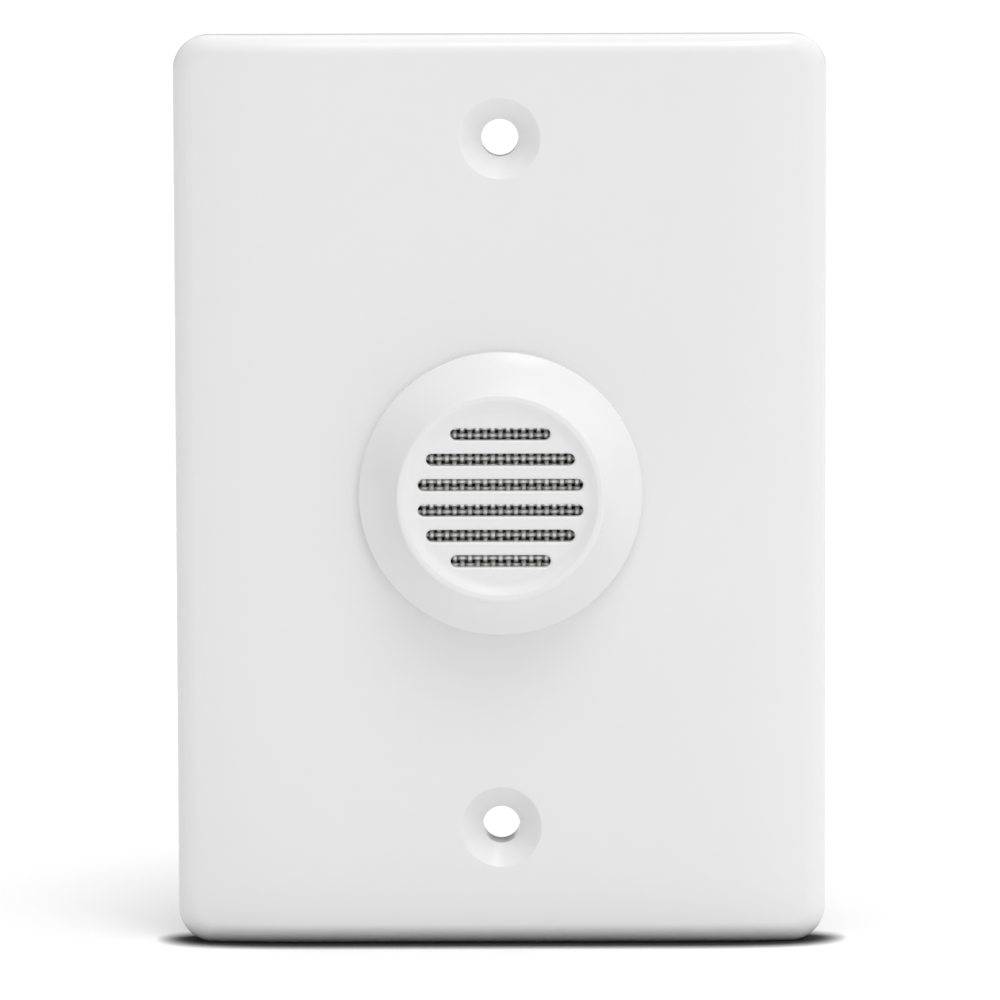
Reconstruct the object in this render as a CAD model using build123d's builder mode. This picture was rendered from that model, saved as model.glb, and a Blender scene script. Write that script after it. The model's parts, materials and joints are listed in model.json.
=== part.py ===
from build123d import *
import math
import os

# Doorbell chime: a moulded wall plate with a round loudspeaker bezel in its middle and, behind
# it, a case with the chime's circuit board that sits in a single wall box.
# Millimetres. X runs to the right and Z up, seen from the front. The front faces -Y.
# The origin is on the wall plane, midway between the two wall screws.

os.makedirs("parts", exist_ok=True)

# Wall plate
plate_width = 78.7
plate_height = 110.2
plate_depth = 7.0
plate_skin = 2.2
plate_corner_radius = 4.2
plate_edge_roll = 2.6
plate_drop = 1.0
side_crown_width = 9.6
side_crown_angle = 20.5
plate_flat_margin = 0.1
gentle_crown_angle = 4.8

# Wall screw holes, each at one margin from the plate's nearer end
screw_end_margin = 13.43
screw_hole_diameter = 4.5
screw_dish_diameter = 9.7
screw_dish_depth = 2.4
screw_dish_edge_round = 0.35
screw_pillar_wall = 2.6
plate_rib = 1.2
plate_rib_setback = 0.6

# Sounder bezel
flange_diameter = 34.2
flange_rim_height = 1.3
flange_rim_round = 0.45
bezel_protrusion = 7.0
bezel_bulge = 0.45
face_diameter = 24.8
face_edge_width = 0.5
face_edge_round = 0.4
face_slope_width = 1.9
face_recess = 0.7
face_skin = 1.6
slot_length = 19.8
slot_length_shares = (0.605, 0.9, 1.0, 1.0, 0.9, 0.605)
slot_height = 1.45
slot_pitch = 3.05
neck_wall = 2.2
neck_gap = 0.2
neck_tail = 2.0
key_width = 2.0
key_height = 1.0

# Ring nut behind the plate
nut_thickness = 3.5
nut_wall = 4.0
nut_thread_gap = 0.06
nut_notches = 8
nut_notch_width = 2.6
nut_notch_depth = 1.3

# Mesh and gasket
mesh_thickness = 0.4
mesh_rim = 1.4
mesh_hole_diameter = 0.66
mesh_pitch = 1.12
mesh_row_share = math.sqrt(3) / 2
gasket_thickness = 1.0
gasket_width = 1.2

# Loudspeaker
speaker_diameter = 23.0
speaker_gap = 0.3
speaker_depth = 9.0
basket_rim_wall = 0.7
basket_rim_depth = 1.8
basket_ledge_depth = 1.0
basket_ledge_width = 0.9
basket_depth = 4.7
basket_foot_wall = 0.75
basket_windows = 4
basket_window_turn = 45.0
basket_window_width = 4.0
basket_window_radial = 2.2
yoke_diameter = 14.0
yoke_wall = 1.5
yoke_height = 5.3
yoke_floor = 1.2
yoke_fit = 0.05
magnet_diameter = 7.8
magnet_height = 2.6
pole_diameter = 8.2
pole_height = 1.0
coil_wall = 0.7
coil_gap = 0.3
coil_dip = 1.5
diaphragm_sheet = 0.25
diaphragm_diameter = 17.6
diaphragm_cone_rise = 0.5
dome_rise = 0.9
surround_sheet = 0.2
surround_glue = 0.05
surround_rise = 0.35
retainer_fit = 0.05
retainer_hole_diameter = 8.0
retainer_notch_width = 5.6
retainer_notch_depth = 3.8
retainer_slot_width = 1.6
retainer_slot_depth = 1.0
lug_board_width = 7.6
lug_board_height = 3.6
lug_board_thickness = 0.8
lug_board_lap = 0.25

# Rear housing: its sides clear the ring nut, and its ends clear the pillars of the wall screws
housing_side_gap = 2.2
housing_end_gap = 5.82
housing_back = 26.0
housing_wall = 1.8
housing_corner_radius = 4.0
housing_back_round = 1.2
tube_diameter = 5.6
tube_inset = 4.6
tube_web = 1.2
boss_diameter = 4.6
boss_height = 3.8
case_screw_diameter = 2.2
case_screw_play = 0.2
case_screw_length = 16.0
case_screw_bite = 3.2
case_screw_head = 4.2
case_screw_head_height = 1.6
case_screw_head_gap = 0.3
thread_gap = 0.03
pilot_end_gap = 0.4
driver_slot_width = 0.7
driver_slot_depth = 0.8

# Circuit board
board_thickness = 1.6
board_front = 9.0
board_gap = 0.4
board_post_diameter = 4.6
board_screw_diameter = 1.8
board_screw_head = 3.6
board_screw_head_height = 1.3
board_screw_bite = 4.5
board_hole_inset = 3.4
board_hole_height_share = 0.3

# Terminal block, its screws face the back and its wire ways face down
pole_pitch = 5.08
pole_count = 3
block_depth = 8.4
block_height = 11.0
block_edge_gap = 0.4
block_floor = 1.1
block_roof = 2.2
block_wall = 1.0
block_back_wall = 1.2
wire_way_width = 3.4
wire_way_height = 3.4
notch_margin = 1.5
cage_wall = 0.5
cage_floor = 0.7
cage_gap = 0.3
cage_length = 4.4
cage_end_gap = 0.1
contact_thickness = 0.8
contact_gap = 0.3
clamp_screw_diameter = 2.2
clamp_screw_head = 3.4
clamp_screw_head_height = 1.5
clamp_screw_sink = 0.2
running_gap = 0.08
clamp_travel = 2.0
pin_tail = 0.8
pin_gap = 0.1

# Volume trimmer and tune switch
setting_height_share = 0.22
setting_side_share = 0.19
trimmer_size = 9.6
trimmer_height = 4.8
trimmer_socket_depth = 3.0
shaft_diameter = 5.0
shaft_proud = 0.5
shaft_tip_gap = 0.2
switch_size = 6.2
switch_height = 3.4
switch_socket_depth = 1.6
button_diameter = 3.6
button_proud = 1.2
button_travel = 0.5
button_tip_gap = 0.2
wall_hole_gap = 0.35
part_corner_round = 0.4

# Loudspeaker wiring
lead_diameter = 0.9
lead_spacing = 2.4
lead_bend = 1.3
lead_rise = 2.4
header_width = 7.4
header_depth = 4.6
header_height = 4.0
header_wall = 0.7
header_floor = 0.8
header_pin_gap = 0.9
plug_gap = 0.1
plug_proud = 0.6

# Parts on the board
filter_can_diameter = 8.0
filter_can_height = 11.5
coupling_can_diameter = 5.0
coupling_can_height = 7.0
can_groove_share = 0.13
can_groove_depth_share = 0.05
bridge_length = 8.5
bridge_width = 6.4
bridge_height = 3.3
regulator_width = 4.7
regulator_depth = 3.7
regulator_height = 4.9
regulator_leg = 2.0
regulator_legs = 3
regulator_face_round = 1.1
fuse_width = 7.4
fuse_thickness = 3.1
fuse_height = 7.6
fuse_top_round = 3.0
crystal_length = 11.2
crystal_width = 4.6
crystal_height = 3.5
sound_chip_length = 10.3
sound_chip_width = 7.5
sound_chip_height = 2.3
sound_chip_legs = 8
amplifier_chip_length = 4.9
amplifier_chip_width = 3.9
amplifier_chip_height = 1.6
amplifier_chip_legs = 4
chip_leg_pitch = 1.27
chip_leg_width = 0.42
chip_leg_reach = 1.1
chip_leg_thickness = 0.25
chip_resistor_length = 2.0
chip_resistor_width = 1.25
chip_resistor_height = 0.55
chip_capacitor_height = 0.95
leg_wire = 0.6

# One overrun for every cut that passes a face, and how near an edge must be to a place that
# picks it, and how much of its direction must lie along an axis
overrun = 1.0
match_gap = 0.03
along_share = 0.5

# Derived heights: the housing fits between the pillars of the two wall screws
screw_hole_spacing = plate_height - 2 * screw_end_margin
pillar_diameter = screw_hole_diameter + 2 * screw_pillar_wall
housing_height = screw_hole_spacing - pillar_diameter - 2 * housing_end_gap

# Derived levels along Y, from the front to the back
sounder_z = -plate_drop
front_y = -plate_depth
inner_y = front_y + plate_skin
face_y = front_y - bezel_protrusion
face_floor_y = face_y + face_recess
mesh_front_y = face_floor_y + face_skin
gasket_front_y = mesh_front_y + mesh_thickness
speaker_front_y = gasket_front_y + gasket_thickness
speaker_back_y = speaker_front_y + speaker_depth
neck_end_y = inner_y + nut_thickness + neck_tail
board_back = board_front + board_thickness
housing_inner_back = housing_back - housing_wall

# Derived radii and widths
bore_radius = speaker_diameter / 2 + speaker_gap
neck_radius = bore_radius + neck_wall
plate_hole_radius = neck_radius + neck_gap
nut_radius = neck_radius + nut_wall
housing_width = 2 * (nut_radius + housing_side_gap + housing_wall)
tube_x = housing_width / 2 - tube_inset
tube_z = housing_height / 2 - tube_inset
board_width = housing_width - 2 * (housing_wall + board_gap)
board_height = housing_height - 2 * (housing_wall + board_gap)
board_hole_x = board_width / 2 - board_hole_inset
board_hole_z = board_height * board_hole_height_share
block_width = pole_pitch * pole_count
block_low_z = sounder_z - board_height / 2 + block_edge_gap
block_high_z = block_low_z + block_depth
setting_x = housing_width * setting_side_share
setting_z = sounder_z + housing_height * setting_height_share

sounder_axis = Axis((0, 0, sounder_z), (0, 1, 0))
sounder_plane = Plane.XY.offset(sounder_z)


def wall_level(y):
    """The plane parallel to the wall at depth y, with its normal to the front."""
    return Plane.XZ.offset(-y)


def corner_places(x, z):
    """Four places round the sounder's centre."""
    return [(side * x, sounder_z + end * z) for side in (-1, 1) for end in (-1, 1)]


# Wall plate: a shallow tray whose front is flat in the middle and rolls back at both sides


def plate_form(inset):
    """The plate's outer form, or the form of its hollow when inset is the skin."""
    half = plate_width / 2
    front = front_y + inset
    gentle = math.radians(gentle_crown_angle)
    side = math.radians(side_crown_angle)
    flat_half = housing_width / 2 + plate_flat_margin
    gentle_crown_width = half - side_crown_width - flat_half
    gentle_radius = gentle_crown_width / math.sin(gentle)
    side_radius = side_crown_width / (math.sin(side) - math.sin(gentle))
    gentle_centre = Vector(flat_half, front_y + gentle_radius)
    turn = Vector(math.sin(gentle), -math.cos(gentle))
    side_centre = gentle_centre + turn * (gentle_radius - side_radius)
    middle = (gentle + side) / 2
    gentle_start = (flat_half, front)
    gentle_mid = gentle_centre + Vector(math.sin(gentle / 2), -math.cos(gentle / 2)) * (
        gentle_radius - inset
    )
    gentle_end = gentle_centre + turn * (gentle_radius - inset)
    side_mid = side_centre + Vector(math.sin(middle), -math.cos(middle)) * (side_radius - inset)
    side_end = side_centre + Vector(math.sin(side), -math.cos(side)) * (side_radius - inset)
    beyond = half + overrun
    with BuildPart() as form:
        with BuildSketch(Plane.XZ):
            with Locations((0, sounder_z)):
                RectangleRounded(
                    plate_width - 2 * inset, plate_height - 2 * inset, plate_corner_radius - inset
                )
        extrude(amount=-front)
        with BuildSketch(sounder_plane):
            with BuildLine():
                ThreePointArc(gentle_start, gentle_mid, gentle_end)
                ThreePointArc(gentle_end, side_mid, side_end)
                Polyline(
                    side_end,
                    (beyond, side_end.Y),
                    (beyond, front - overrun),
                    (flat_half, front - overrun),
                    gentle_start,
                )
            make_face()
            mirror(about=Plane.YZ)
        extrude(amount=plate_height / 2 + overrun, both=True, mode=Mode.SUBTRACT)
    return form.part


def on_front_rim(edge):
    """True for the edges where the plate's front meets its four sides."""
    centre = edge.center()
    if centre.Y > -plate_edge_roll / 2:
        return False
    if edge.geom_type == GeomType.LINE and abs(edge.tangent_at(0).Z) > along_share:
        return abs(centre.X) > plate_width / 2 - plate_edge_roll / 2
    return not (edge.geom_type == GeomType.LINE and abs(edge.tangent_at(0).Y) > along_share)


plate_hollow = plate_form(plate_skin)
hollow_depth = -inner_y
screw_places = [(0, end * screw_hole_spacing / 2) for end in (-1, 1)]
boss_places = corner_places(tube_x, tube_z)
boss_end_y = inner_y + boss_height

with BuildPart() as wall_plate:
    add(plate_form(0))
    fillet(wall_plate.edges().filter_by(on_front_rim), plate_edge_roll)
    add(plate_hollow, mode=Mode.SUBTRACT)
    # pillars behind the wall screws, each with a rib out to the plate's nearer end
    with BuildSketch(Plane.XZ):
        with Locations(*screw_places):
            Circle(pillar_diameter / 2)
    extrude(amount=plate_depth - plate_skin)
    with BuildSketch(wall_level(-plate_rib_setback)):
        with Locations((0, sounder_z)):
            Rectangle(plate_rib, plate_height - 2 * plate_skin)
            Rectangle(plate_rib, screw_hole_spacing, mode=Mode.SUBTRACT)
    extrude(amount=hollow_depth - plate_rib_setback)
    # bosses that the housing's screws bite into
    with BuildSketch(wall_level(inner_y)):
        with Locations(*boss_places):
            Circle(boss_diameter / 2)
    extrude(amount=-boss_height)
    with BuildSketch(wall_level(boss_end_y)):
        with Locations(*boss_places):
            Circle(case_screw_diameter / 2 + thread_gap)
    extrude(amount=case_screw_bite + pilot_end_gap, mode=Mode.SUBTRACT)
    # hole for the bezel's neck, with the notch that stops it turning
    with BuildSketch(wall_level(inner_y + overrun)):
        with Locations((0, sounder_z)):
            Circle(plate_hole_radius)
        with Locations((0, sounder_z + plate_hole_radius)):
            Rectangle(key_width + 2 * neck_gap, 2 * (key_height + neck_gap))
    extrude(amount=plate_skin + 2 * overrun, mode=Mode.SUBTRACT)
    # wall screw holes and their dishes
    for place in screw_places:
        with BuildSketch(Plane.XY.offset(place[1])):
            with BuildLine():
                Polyline(
                    (0, front_y - overrun),
                    (screw_dish_diameter / 2, front_y - overrun),
                    (screw_dish_diameter / 2, front_y),
                    (screw_hole_diameter / 2, front_y + screw_dish_depth),
                    (screw_hole_diameter / 2, overrun),
                    (0, overrun),
                    close=True,
                )
            make_face()
        revolve(axis=Axis((0, 0, place[1]), (0, 1, 0)), mode=Mode.SUBTRACT)
    dish_edges = wall_plate.edges().filter_by(GeomType.CIRCLE).filter_by(
        lambda e: abs(e.radius - screw_dish_diameter / 2) < match_gap
        and abs(e.center().Y - front_y) < match_gap
    )
    fillet(dish_edges, screw_dish_edge_round)

wall_plate.part.label = "wall_plate"
export_step(wall_plate.part, "parts/wall_plate.step")

# Sounder bezel: flange, bevel, dished face with six slots, and the neck through the plate

flange_radius = flange_diameter / 2
face_radius = face_diameter / 2
rim_y = front_y - flange_rim_height
bevel_middle = Vector((flange_radius + face_radius) / 2, (rim_y + face_y) / 2)
bevel_run = Vector(face_radius - flange_radius, face_y - rim_y)
bevel_out = Vector(-bevel_run.Y, bevel_run.X).normalized()
face_floor_radius = face_radius - face_slope_width

with BuildPart() as sounder_bezel:
    with BuildSketch(sounder_plane):
        with BuildLine():
            ThreePointArc(
                (flange_radius, rim_y), bevel_middle + bevel_out * bezel_bulge, (face_radius, face_y)
            )
            Polyline(
                (face_radius, face_y),
                (face_radius - face_edge_width, face_y),
                (face_floor_radius, face_floor_y),
                (0, face_floor_y),
                (0, mesh_front_y),
                (bore_radius, mesh_front_y),
                (bore_radius, neck_end_y),
                (neck_radius, neck_end_y),
                (neck_radius, front_y),
                (flange_radius, front_y),
                (flange_radius, rim_y),
            )
        make_face()
    revolve(axis=sounder_axis)
    outer_edges = sounder_bezel.edges().filter_by(GeomType.CIRCLE)
    rim_edges = outer_edges.filter_by(
        lambda e: abs(e.radius - flange_radius) < match_gap and abs(e.center().Y - rim_y) < match_gap
    )
    lip_edges = outer_edges.filter_by(
        lambda e: abs(e.radius - face_radius) < match_gap and abs(e.center().Y - face_y) < match_gap
    )
    fillet(rim_edges, flange_rim_round)
    fillet(lip_edges, face_edge_round)
    # the key that stops the bezel turning in the plate
    with BuildSketch(wall_level(inner_y)):
        with Locations((0, sounder_z + neck_radius)):
            Rectangle(key_width, 2 * key_height)
    extrude(amount=plate_skin)
    # the slots
    with BuildSketch(wall_level(mesh_front_y + overrun)):
        for row, share in enumerate(slot_length_shares):
            slot_z = ((len(slot_length_shares) - 1) / 2 - row) * slot_pitch
            with Locations((0, sounder_z + slot_z)):
                SlotOverall(slot_length * share, slot_height)
    extrude(amount=face_skin + face_recess + 2 * overrun, mode=Mode.SUBTRACT)

sounder_bezel.part.label = "sounder_bezel"
export_step(sounder_bezel.part, "parts/sounder_bezel.step")

# Ring nut: round, with grip notches round its edge

with BuildPart() as bezel_ring_nut:
    with BuildSketch(wall_level(inner_y)):
        with Locations((0, sounder_z)):
            Circle(nut_radius)
            Circle(neck_radius + nut_thread_gap, mode=Mode.SUBTRACT)
            with PolarLocations(nut_radius, nut_notches):
                Rectangle(2 * nut_notch_depth, nut_notch_width, mode=Mode.SUBTRACT)
    extrude(amount=-nut_thickness)

bezel_ring_nut.part.label = "bezel_ring_nut"
export_step(bezel_ring_nut.part, "parts/bezel_ring_nut.step")

# Mesh screen: a thin steel disc, holed all over inside a plain rim

mesh_radius = bore_radius - speaker_gap
mesh_row_pitch = mesh_pitch * mesh_row_share
mesh_reach = mesh_radius - mesh_rim
mesh_rows = int(mesh_reach / mesh_row_pitch)
mesh_columns = int(mesh_reach / mesh_pitch) + 1
mesh_places = []
for row in range(-mesh_rows, mesh_rows + 1):
    for column in range(-mesh_columns, mesh_columns + 1):
        hole_x = (column + 0.5 * (row % 2)) * mesh_pitch
        hole_z = row * mesh_row_pitch
        if math.hypot(hole_x, hole_z) < mesh_reach:
            mesh_places.append((hole_x, sounder_z + hole_z))

with BuildPart() as mesh_screen:
    with BuildSketch(wall_level(mesh_front_y)):
        with Locations((0, sounder_z)):
            Circle(mesh_radius)
        with Locations(*mesh_places):
            Circle(mesh_hole_diameter / 2, mode=Mode.SUBTRACT)
    extrude(amount=-mesh_thickness)

mesh_screen.part.label = "mesh_screen"
export_step(mesh_screen.part, "parts/mesh_screen.step")

# Gasket: a foam ring between the mesh and the loudspeaker's rim

with BuildPart() as speaker_gasket:
    with BuildSketch(wall_level(gasket_front_y)):
        with Locations((0, sounder_z)):
            Circle(mesh_radius)
            Circle(mesh_radius - gasket_width, mode=Mode.SUBTRACT)
    extrude(amount=-gasket_thickness)

speaker_gasket.part.label = "speaker_gasket"
export_step(speaker_gasket.part, "parts/speaker_gasket.step")

# Loudspeaker: basket, motor, moving coil and diaphragm

basket_radius = speaker_diameter / 2
yoke_radius = yoke_diameter / 2
basket_seat_radius = yoke_radius + yoke_fit
basket_back_y = speaker_front_y + basket_depth
ledge_y = speaker_front_y + basket_ledge_depth
ledge_outer_radius = basket_radius - basket_rim_wall
ledge_inner_radius = ledge_outer_radius - basket_ledge_width
yoke_front_y = speaker_back_y - yoke_height
yoke_floor_y = speaker_back_y - yoke_floor
magnet_front_y = yoke_floor_y - magnet_height
pole_front_y = magnet_front_y - pole_height

with BuildPart() as speaker_basket:
    with BuildSketch(sounder_plane):
        with BuildLine():
            Polyline(
                (basket_radius, speaker_front_y),
                (basket_radius, speaker_front_y + basket_rim_depth),
                (basket_seat_radius + basket_foot_wall, basket_back_y),
                (basket_seat_radius, basket_back_y),
                (basket_seat_radius, basket_back_y - basket_foot_wall),
                (ledge_inner_radius, ledge_y),
                (ledge_outer_radius, ledge_y),
                (ledge_outer_radius, speaker_front_y),
                close=True,
            )
        make_face()
    revolve(axis=sounder_axis)
    with BuildSketch(wall_level(basket_back_y + overrun)):
        with Locations((0, sounder_z)):
            with PolarLocations((basket_seat_radius + basket_radius) / 2, basket_windows, basket_window_turn):
                RectangleRounded(basket_window_radial, basket_window_width, part_corner_round)
    extrude(amount=basket_depth + overrun - basket_ledge_depth, mode=Mode.SUBTRACT)

speaker_basket.part.label = "speaker_basket"
export_step(speaker_basket.part, "parts/speaker_basket.step")

with BuildPart() as speaker_yoke:
    with BuildSketch(wall_level(speaker_back_y)):
        with Locations((0, sounder_z)):
            Circle(yoke_radius)
    extrude(amount=yoke_height)
    with BuildSketch(wall_level(yoke_floor_y)):
        with Locations((0, sounder_z)):
            Circle(yoke_radius - yoke_wall)
    extrude(amount=yoke_height, mode=Mode.SUBTRACT)

speaker_yoke.part.label = "speaker_yoke"
export_step(speaker_yoke.part, "parts/speaker_yoke.step")

with BuildPart() as speaker_magnet:
    with BuildSketch(wall_level(yoke_floor_y)):
        with Locations((0, sounder_z)):
            Circle(magnet_diameter / 2)
    extrude(amount=magnet_height)

speaker_magnet.part.label = "speaker_magnet"
export_step(speaker_magnet.part, "parts/speaker_magnet.step")

with BuildPart() as speaker_pole_plate:
    with BuildSketch(wall_level(magnet_front_y)):
        with Locations((0, sounder_z)):
            Circle(pole_diameter / 2)
    extrude(amount=pole_height)

speaker_pole_plate.part.label = "speaker_pole_plate"
export_step(speaker_pole_plate.part, "parts/speaker_pole_plate.step")

coil_inner_radius = pole_diameter / 2 + coil_gap
coil_radius = coil_inner_radius + coil_wall
diaphragm_radius = diaphragm_diameter / 2
diaphragm_rim_y = ledge_y
coil_front_y = diaphragm_rim_y + diaphragm_cone_rise + diaphragm_sheet
coil_back_y = pole_front_y + coil_dip

with BuildPart() as voice_coil:
    with BuildSketch(wall_level(coil_back_y)):
        with Locations((0, sounder_z)):
            Circle(coil_radius)
            Circle(coil_inner_radius, mode=Mode.SUBTRACT)
    extrude(amount=coil_back_y - coil_front_y)

voice_coil.part.label = "voice_coil"
export_step(voice_coil.part, "parts/voice_coil.step")

# the diaphragm is a shallow cone outside the coil and a dome inside it, in one thin sheet
cone_foot_y = diaphragm_rim_y + diaphragm_cone_rise
dome_radius = (coil_inner_radius**2 + dome_rise**2) / (2 * dome_rise)
dome_half_rise = math.sqrt(dome_radius**2 - coil_inner_radius**2 / 4) - (dome_radius - dome_rise)

with BuildPart() as speaker_diaphragm:
    with BuildSketch(sounder_plane):
        with BuildLine():
            Polyline(
                (coil_inner_radius, cone_foot_y),
                (coil_radius, cone_foot_y),
                (diaphragm_radius, diaphragm_rim_y),
                (diaphragm_radius, diaphragm_rim_y + diaphragm_sheet),
                (coil_radius, cone_foot_y + diaphragm_sheet),
                (coil_inner_radius, cone_foot_y + diaphragm_sheet),
            )
            ThreePointArc(
                (coil_inner_radius, cone_foot_y + diaphragm_sheet),
                (coil_inner_radius / 2, cone_foot_y + diaphragm_sheet - dome_half_rise),
                (0, cone_foot_y + diaphragm_sheet - dome_rise),
            )
            Line(
                (0, cone_foot_y + diaphragm_sheet - dome_rise),
                (0, cone_foot_y - dome_rise),
            )
            ThreePointArc(
                (0, cone_foot_y - dome_rise),
                (coil_inner_radius / 2, cone_foot_y - dome_half_rise),
                (coil_inner_radius, cone_foot_y),
            )
        make_face()
    revolve(axis=sounder_axis)

speaker_diaphragm.part.label = "speaker_diaphragm"
export_step(speaker_diaphragm.part, "parts/speaker_diaphragm.step")

# the surround is a half roll of thin film from the diaphragm's edge to the basket's ledge
surround_inner_radius = diaphragm_radius + surround_glue
surround_outer_radius = ledge_outer_radius - surround_glue
roll_middle_radius = (surround_inner_radius + ledge_inner_radius) / 2

with BuildPart() as speaker_surround:
    with BuildSketch(sounder_plane):
        with BuildLine():
            ThreePointArc(
                (surround_inner_radius, ledge_y),
                (roll_middle_radius, ledge_y - surround_rise),
                (ledge_inner_radius, ledge_y),
            )
            Polyline(
                (ledge_inner_radius, ledge_y),
                (surround_outer_radius, ledge_y),
                (surround_outer_radius, ledge_y - surround_sheet),
                (ledge_inner_radius + surround_sheet, ledge_y - surround_sheet),
            )
            ThreePointArc(
                (ledge_inner_radius + surround_sheet, ledge_y - surround_sheet),
                (roll_middle_radius + surround_sheet / 2, ledge_y - surround_rise - surround_sheet),
                (surround_inner_radius, ledge_y - surround_sheet),
            )
            Line(
                (surround_inner_radius, ledge_y - surround_sheet),
                (surround_inner_radius, ledge_y),
            )
        make_face()
    revolve(axis=sounder_axis)

speaker_surround.part.label = "speaker_surround"
export_step(speaker_surround.part, "parts/speaker_surround.step")

# Board with the loudspeaker's two solder lugs, on the basket's foot below the yoke

lug_board_top = sounder_z - basket_seat_radius - lug_board_lap
lug_board_middle = lug_board_top - lug_board_height / 2

with BuildPart() as speaker_terminal_board:
    with BuildSketch(wall_level(basket_back_y)):
        with Locations((0, lug_board_middle)):
            Rectangle(lug_board_width, lug_board_height)
    extrude(amount=-lug_board_thickness)

speaker_terminal_board.part.label = "speaker_terminal_board"
export_step(speaker_terminal_board.part, "parts/speaker_terminal_board.step")

# Retainer: the ring in the neck's mouth that bears on the back of the yoke

with BuildPart() as speaker_retainer:
    with BuildSketch(wall_level(speaker_back_y)):
        with Locations((0, sounder_z)):
            Circle(bore_radius - retainer_fit)
            Circle(retainer_hole_diameter / 2, mode=Mode.SUBTRACT)
        with Locations((0, sounder_z - bore_radius + retainer_notch_depth / 2)):
            Rectangle(retainer_notch_width, retainer_notch_depth, mode=Mode.SUBTRACT)
    extrude(amount=speaker_back_y - neck_end_y)
    with BuildSketch(wall_level(neck_end_y)):
        with Locations((0, sounder_z)):
            Rectangle(2 * bore_radius, retainer_slot_width)
    extrude(amount=retainer_slot_depth, mode=Mode.SUBTRACT)

speaker_retainer.part.label = "speaker_retainer"
export_step(speaker_retainer.part, "parts/speaker_retainer.step")

# Rear housing: a tub open to the front, with four tubes for the long screws and four posts
# for the board

head_seat_y = boss_end_y + case_screw_length - case_screw_bite
web_reach = tube_inset - housing_wall / 2
post_places = corner_places(board_hole_x, board_hole_z)
notch_width = block_width + 2 * notch_margin
notch_top = block_high_z + notch_margin
housing_low_z = sounder_z - housing_height / 2
shaft_radius = shaft_diameter / 2
button_radius = button_diameter / 2

with BuildPart() as rear_housing:
    with BuildSketch(wall_level(inner_y)):
        with Locations((0, sounder_z)):
            RectangleRounded(housing_width, housing_height, housing_corner_radius)
    extrude(amount=inner_y - housing_back)
    back_edges = rear_housing.faces().sort_by(Axis.Y)[-1].edges()
    fillet(back_edges, housing_back_round)
    with BuildSketch(wall_level(inner_y)):
        with Locations((0, sounder_z)):
            RectangleRounded(
                housing_width - 2 * housing_wall,
                housing_height - 2 * housing_wall,
                housing_corner_radius - housing_wall,
            )
    extrude(amount=inner_y - housing_inner_back, mode=Mode.SUBTRACT)
    with BuildSketch(wall_level(boss_end_y)):
        with Locations(*corner_places(tube_x, tube_z)):
            Circle(tube_diameter / 2)
        # webs from each tube to the two walls beside it
        with Locations(*corner_places(tube_x + web_reach / 2, tube_z)):
            Rectangle(web_reach, tube_web)
        with Locations(*corner_places(tube_x, tube_z + web_reach / 2)):
            Rectangle(tube_web, web_reach)
    extrude(amount=boss_end_y - housing_inner_back)
    with BuildSketch(wall_level(board_back)):
        with Locations(*post_places):
            Circle(board_post_diameter / 2)
    extrude(amount=board_back - housing_inner_back)
    # ways for the long screws and their heads
    with BuildSketch(wall_level(boss_end_y - overrun)):
        with Locations(*corner_places(tube_x, tube_z)):
            Circle(case_screw_diameter / 2 + case_screw_play)
    extrude(amount=boss_end_y - overrun - head_seat_y, mode=Mode.SUBTRACT)
    with BuildSketch(wall_level(head_seat_y)):
        with Locations(*corner_places(tube_x, tube_z)):
            Circle(case_screw_head / 2 + case_screw_head_gap)
    extrude(amount=head_seat_y - housing_back - overrun, mode=Mode.SUBTRACT)
    # pilot holes for the board's screws
    with BuildSketch(wall_level(board_back)):
        with Locations(*post_places):
            Circle(board_screw_diameter / 2 + thread_gap)
    extrude(amount=-board_screw_bite - pilot_end_gap, mode=Mode.SUBTRACT)
    # open corner at the terminal block, through the bottom wall and the back
    with BuildSketch(wall_level(board_back + block_floor)):
        with Locations((0, (housing_low_z - overrun + notch_top) / 2)):
            Rectangle(notch_width, notch_top - housing_low_z + overrun)
    extrude(amount=board_back + block_floor - housing_back - overrun, mode=Mode.SUBTRACT)
    # holes for the volume shaft and the tune button
    with BuildSketch(wall_level(housing_inner_back - overrun)):
        with Locations((setting_x, setting_z)):
            Circle(shaft_radius + wall_hole_gap)
        with Locations((-setting_x, setting_z)):
            Circle(button_radius + wall_hole_gap)
    extrude(amount=-housing_wall - 2 * overrun, mode=Mode.SUBTRACT)

rear_housing.part.label = "rear_housing"
export_step(rear_housing.part, "parts/rear_housing.step")


def driven_screws(places, seat_y, head_towards, diameter, length, head, head_height):
    """Slotted screws with their heads on seat_y; head_towards is 1 for the back, -1 for the front."""
    with BuildPart() as screws:
        with BuildSketch(wall_level(seat_y)):
            with Locations(*places):
                Circle(head / 2)
        extrude(amount=-head_towards * head_height)
        with BuildSketch(wall_level(seat_y)):
            with Locations(*places):
                Circle(diameter / 2)
        extrude(amount=head_towards * length)
        with BuildSketch(wall_level(seat_y + head_towards * head_height)):
            with Locations(*places):
                Rectangle(head + overrun, driver_slot_width)
        extrude(amount=head_towards * driver_slot_depth, mode=Mode.SUBTRACT)
    return screws.part


with BuildPart() as housing_screws:
    add(
        driven_screws(
            corner_places(tube_x, tube_z),
            head_seat_y,
            1,
            case_screw_diameter,
            case_screw_length,
            case_screw_head,
            case_screw_head_height,
        )
    )

housing_screws.part.label = "housing_screws"
export_step(housing_screws.part, "parts/housing_screws.step")

# Circuit board, with a notch at each corner for the housing's tubes

corner_notch = tube_inset + tube_diameter / 2 - housing_wall
bar_back_leg = block_low_z + block_depth - block_back_wall
leg_middle_z = bar_back_leg - contact_thickness / 2
contact_width = pole_pitch - block_wall - 2 * (cage_gap + cage_wall + contact_gap)


def pole_x(pole):
    """The middle of one pole of the terminal block."""
    return (pole - (pole_count - 1) / 2) * pole_pitch


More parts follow.
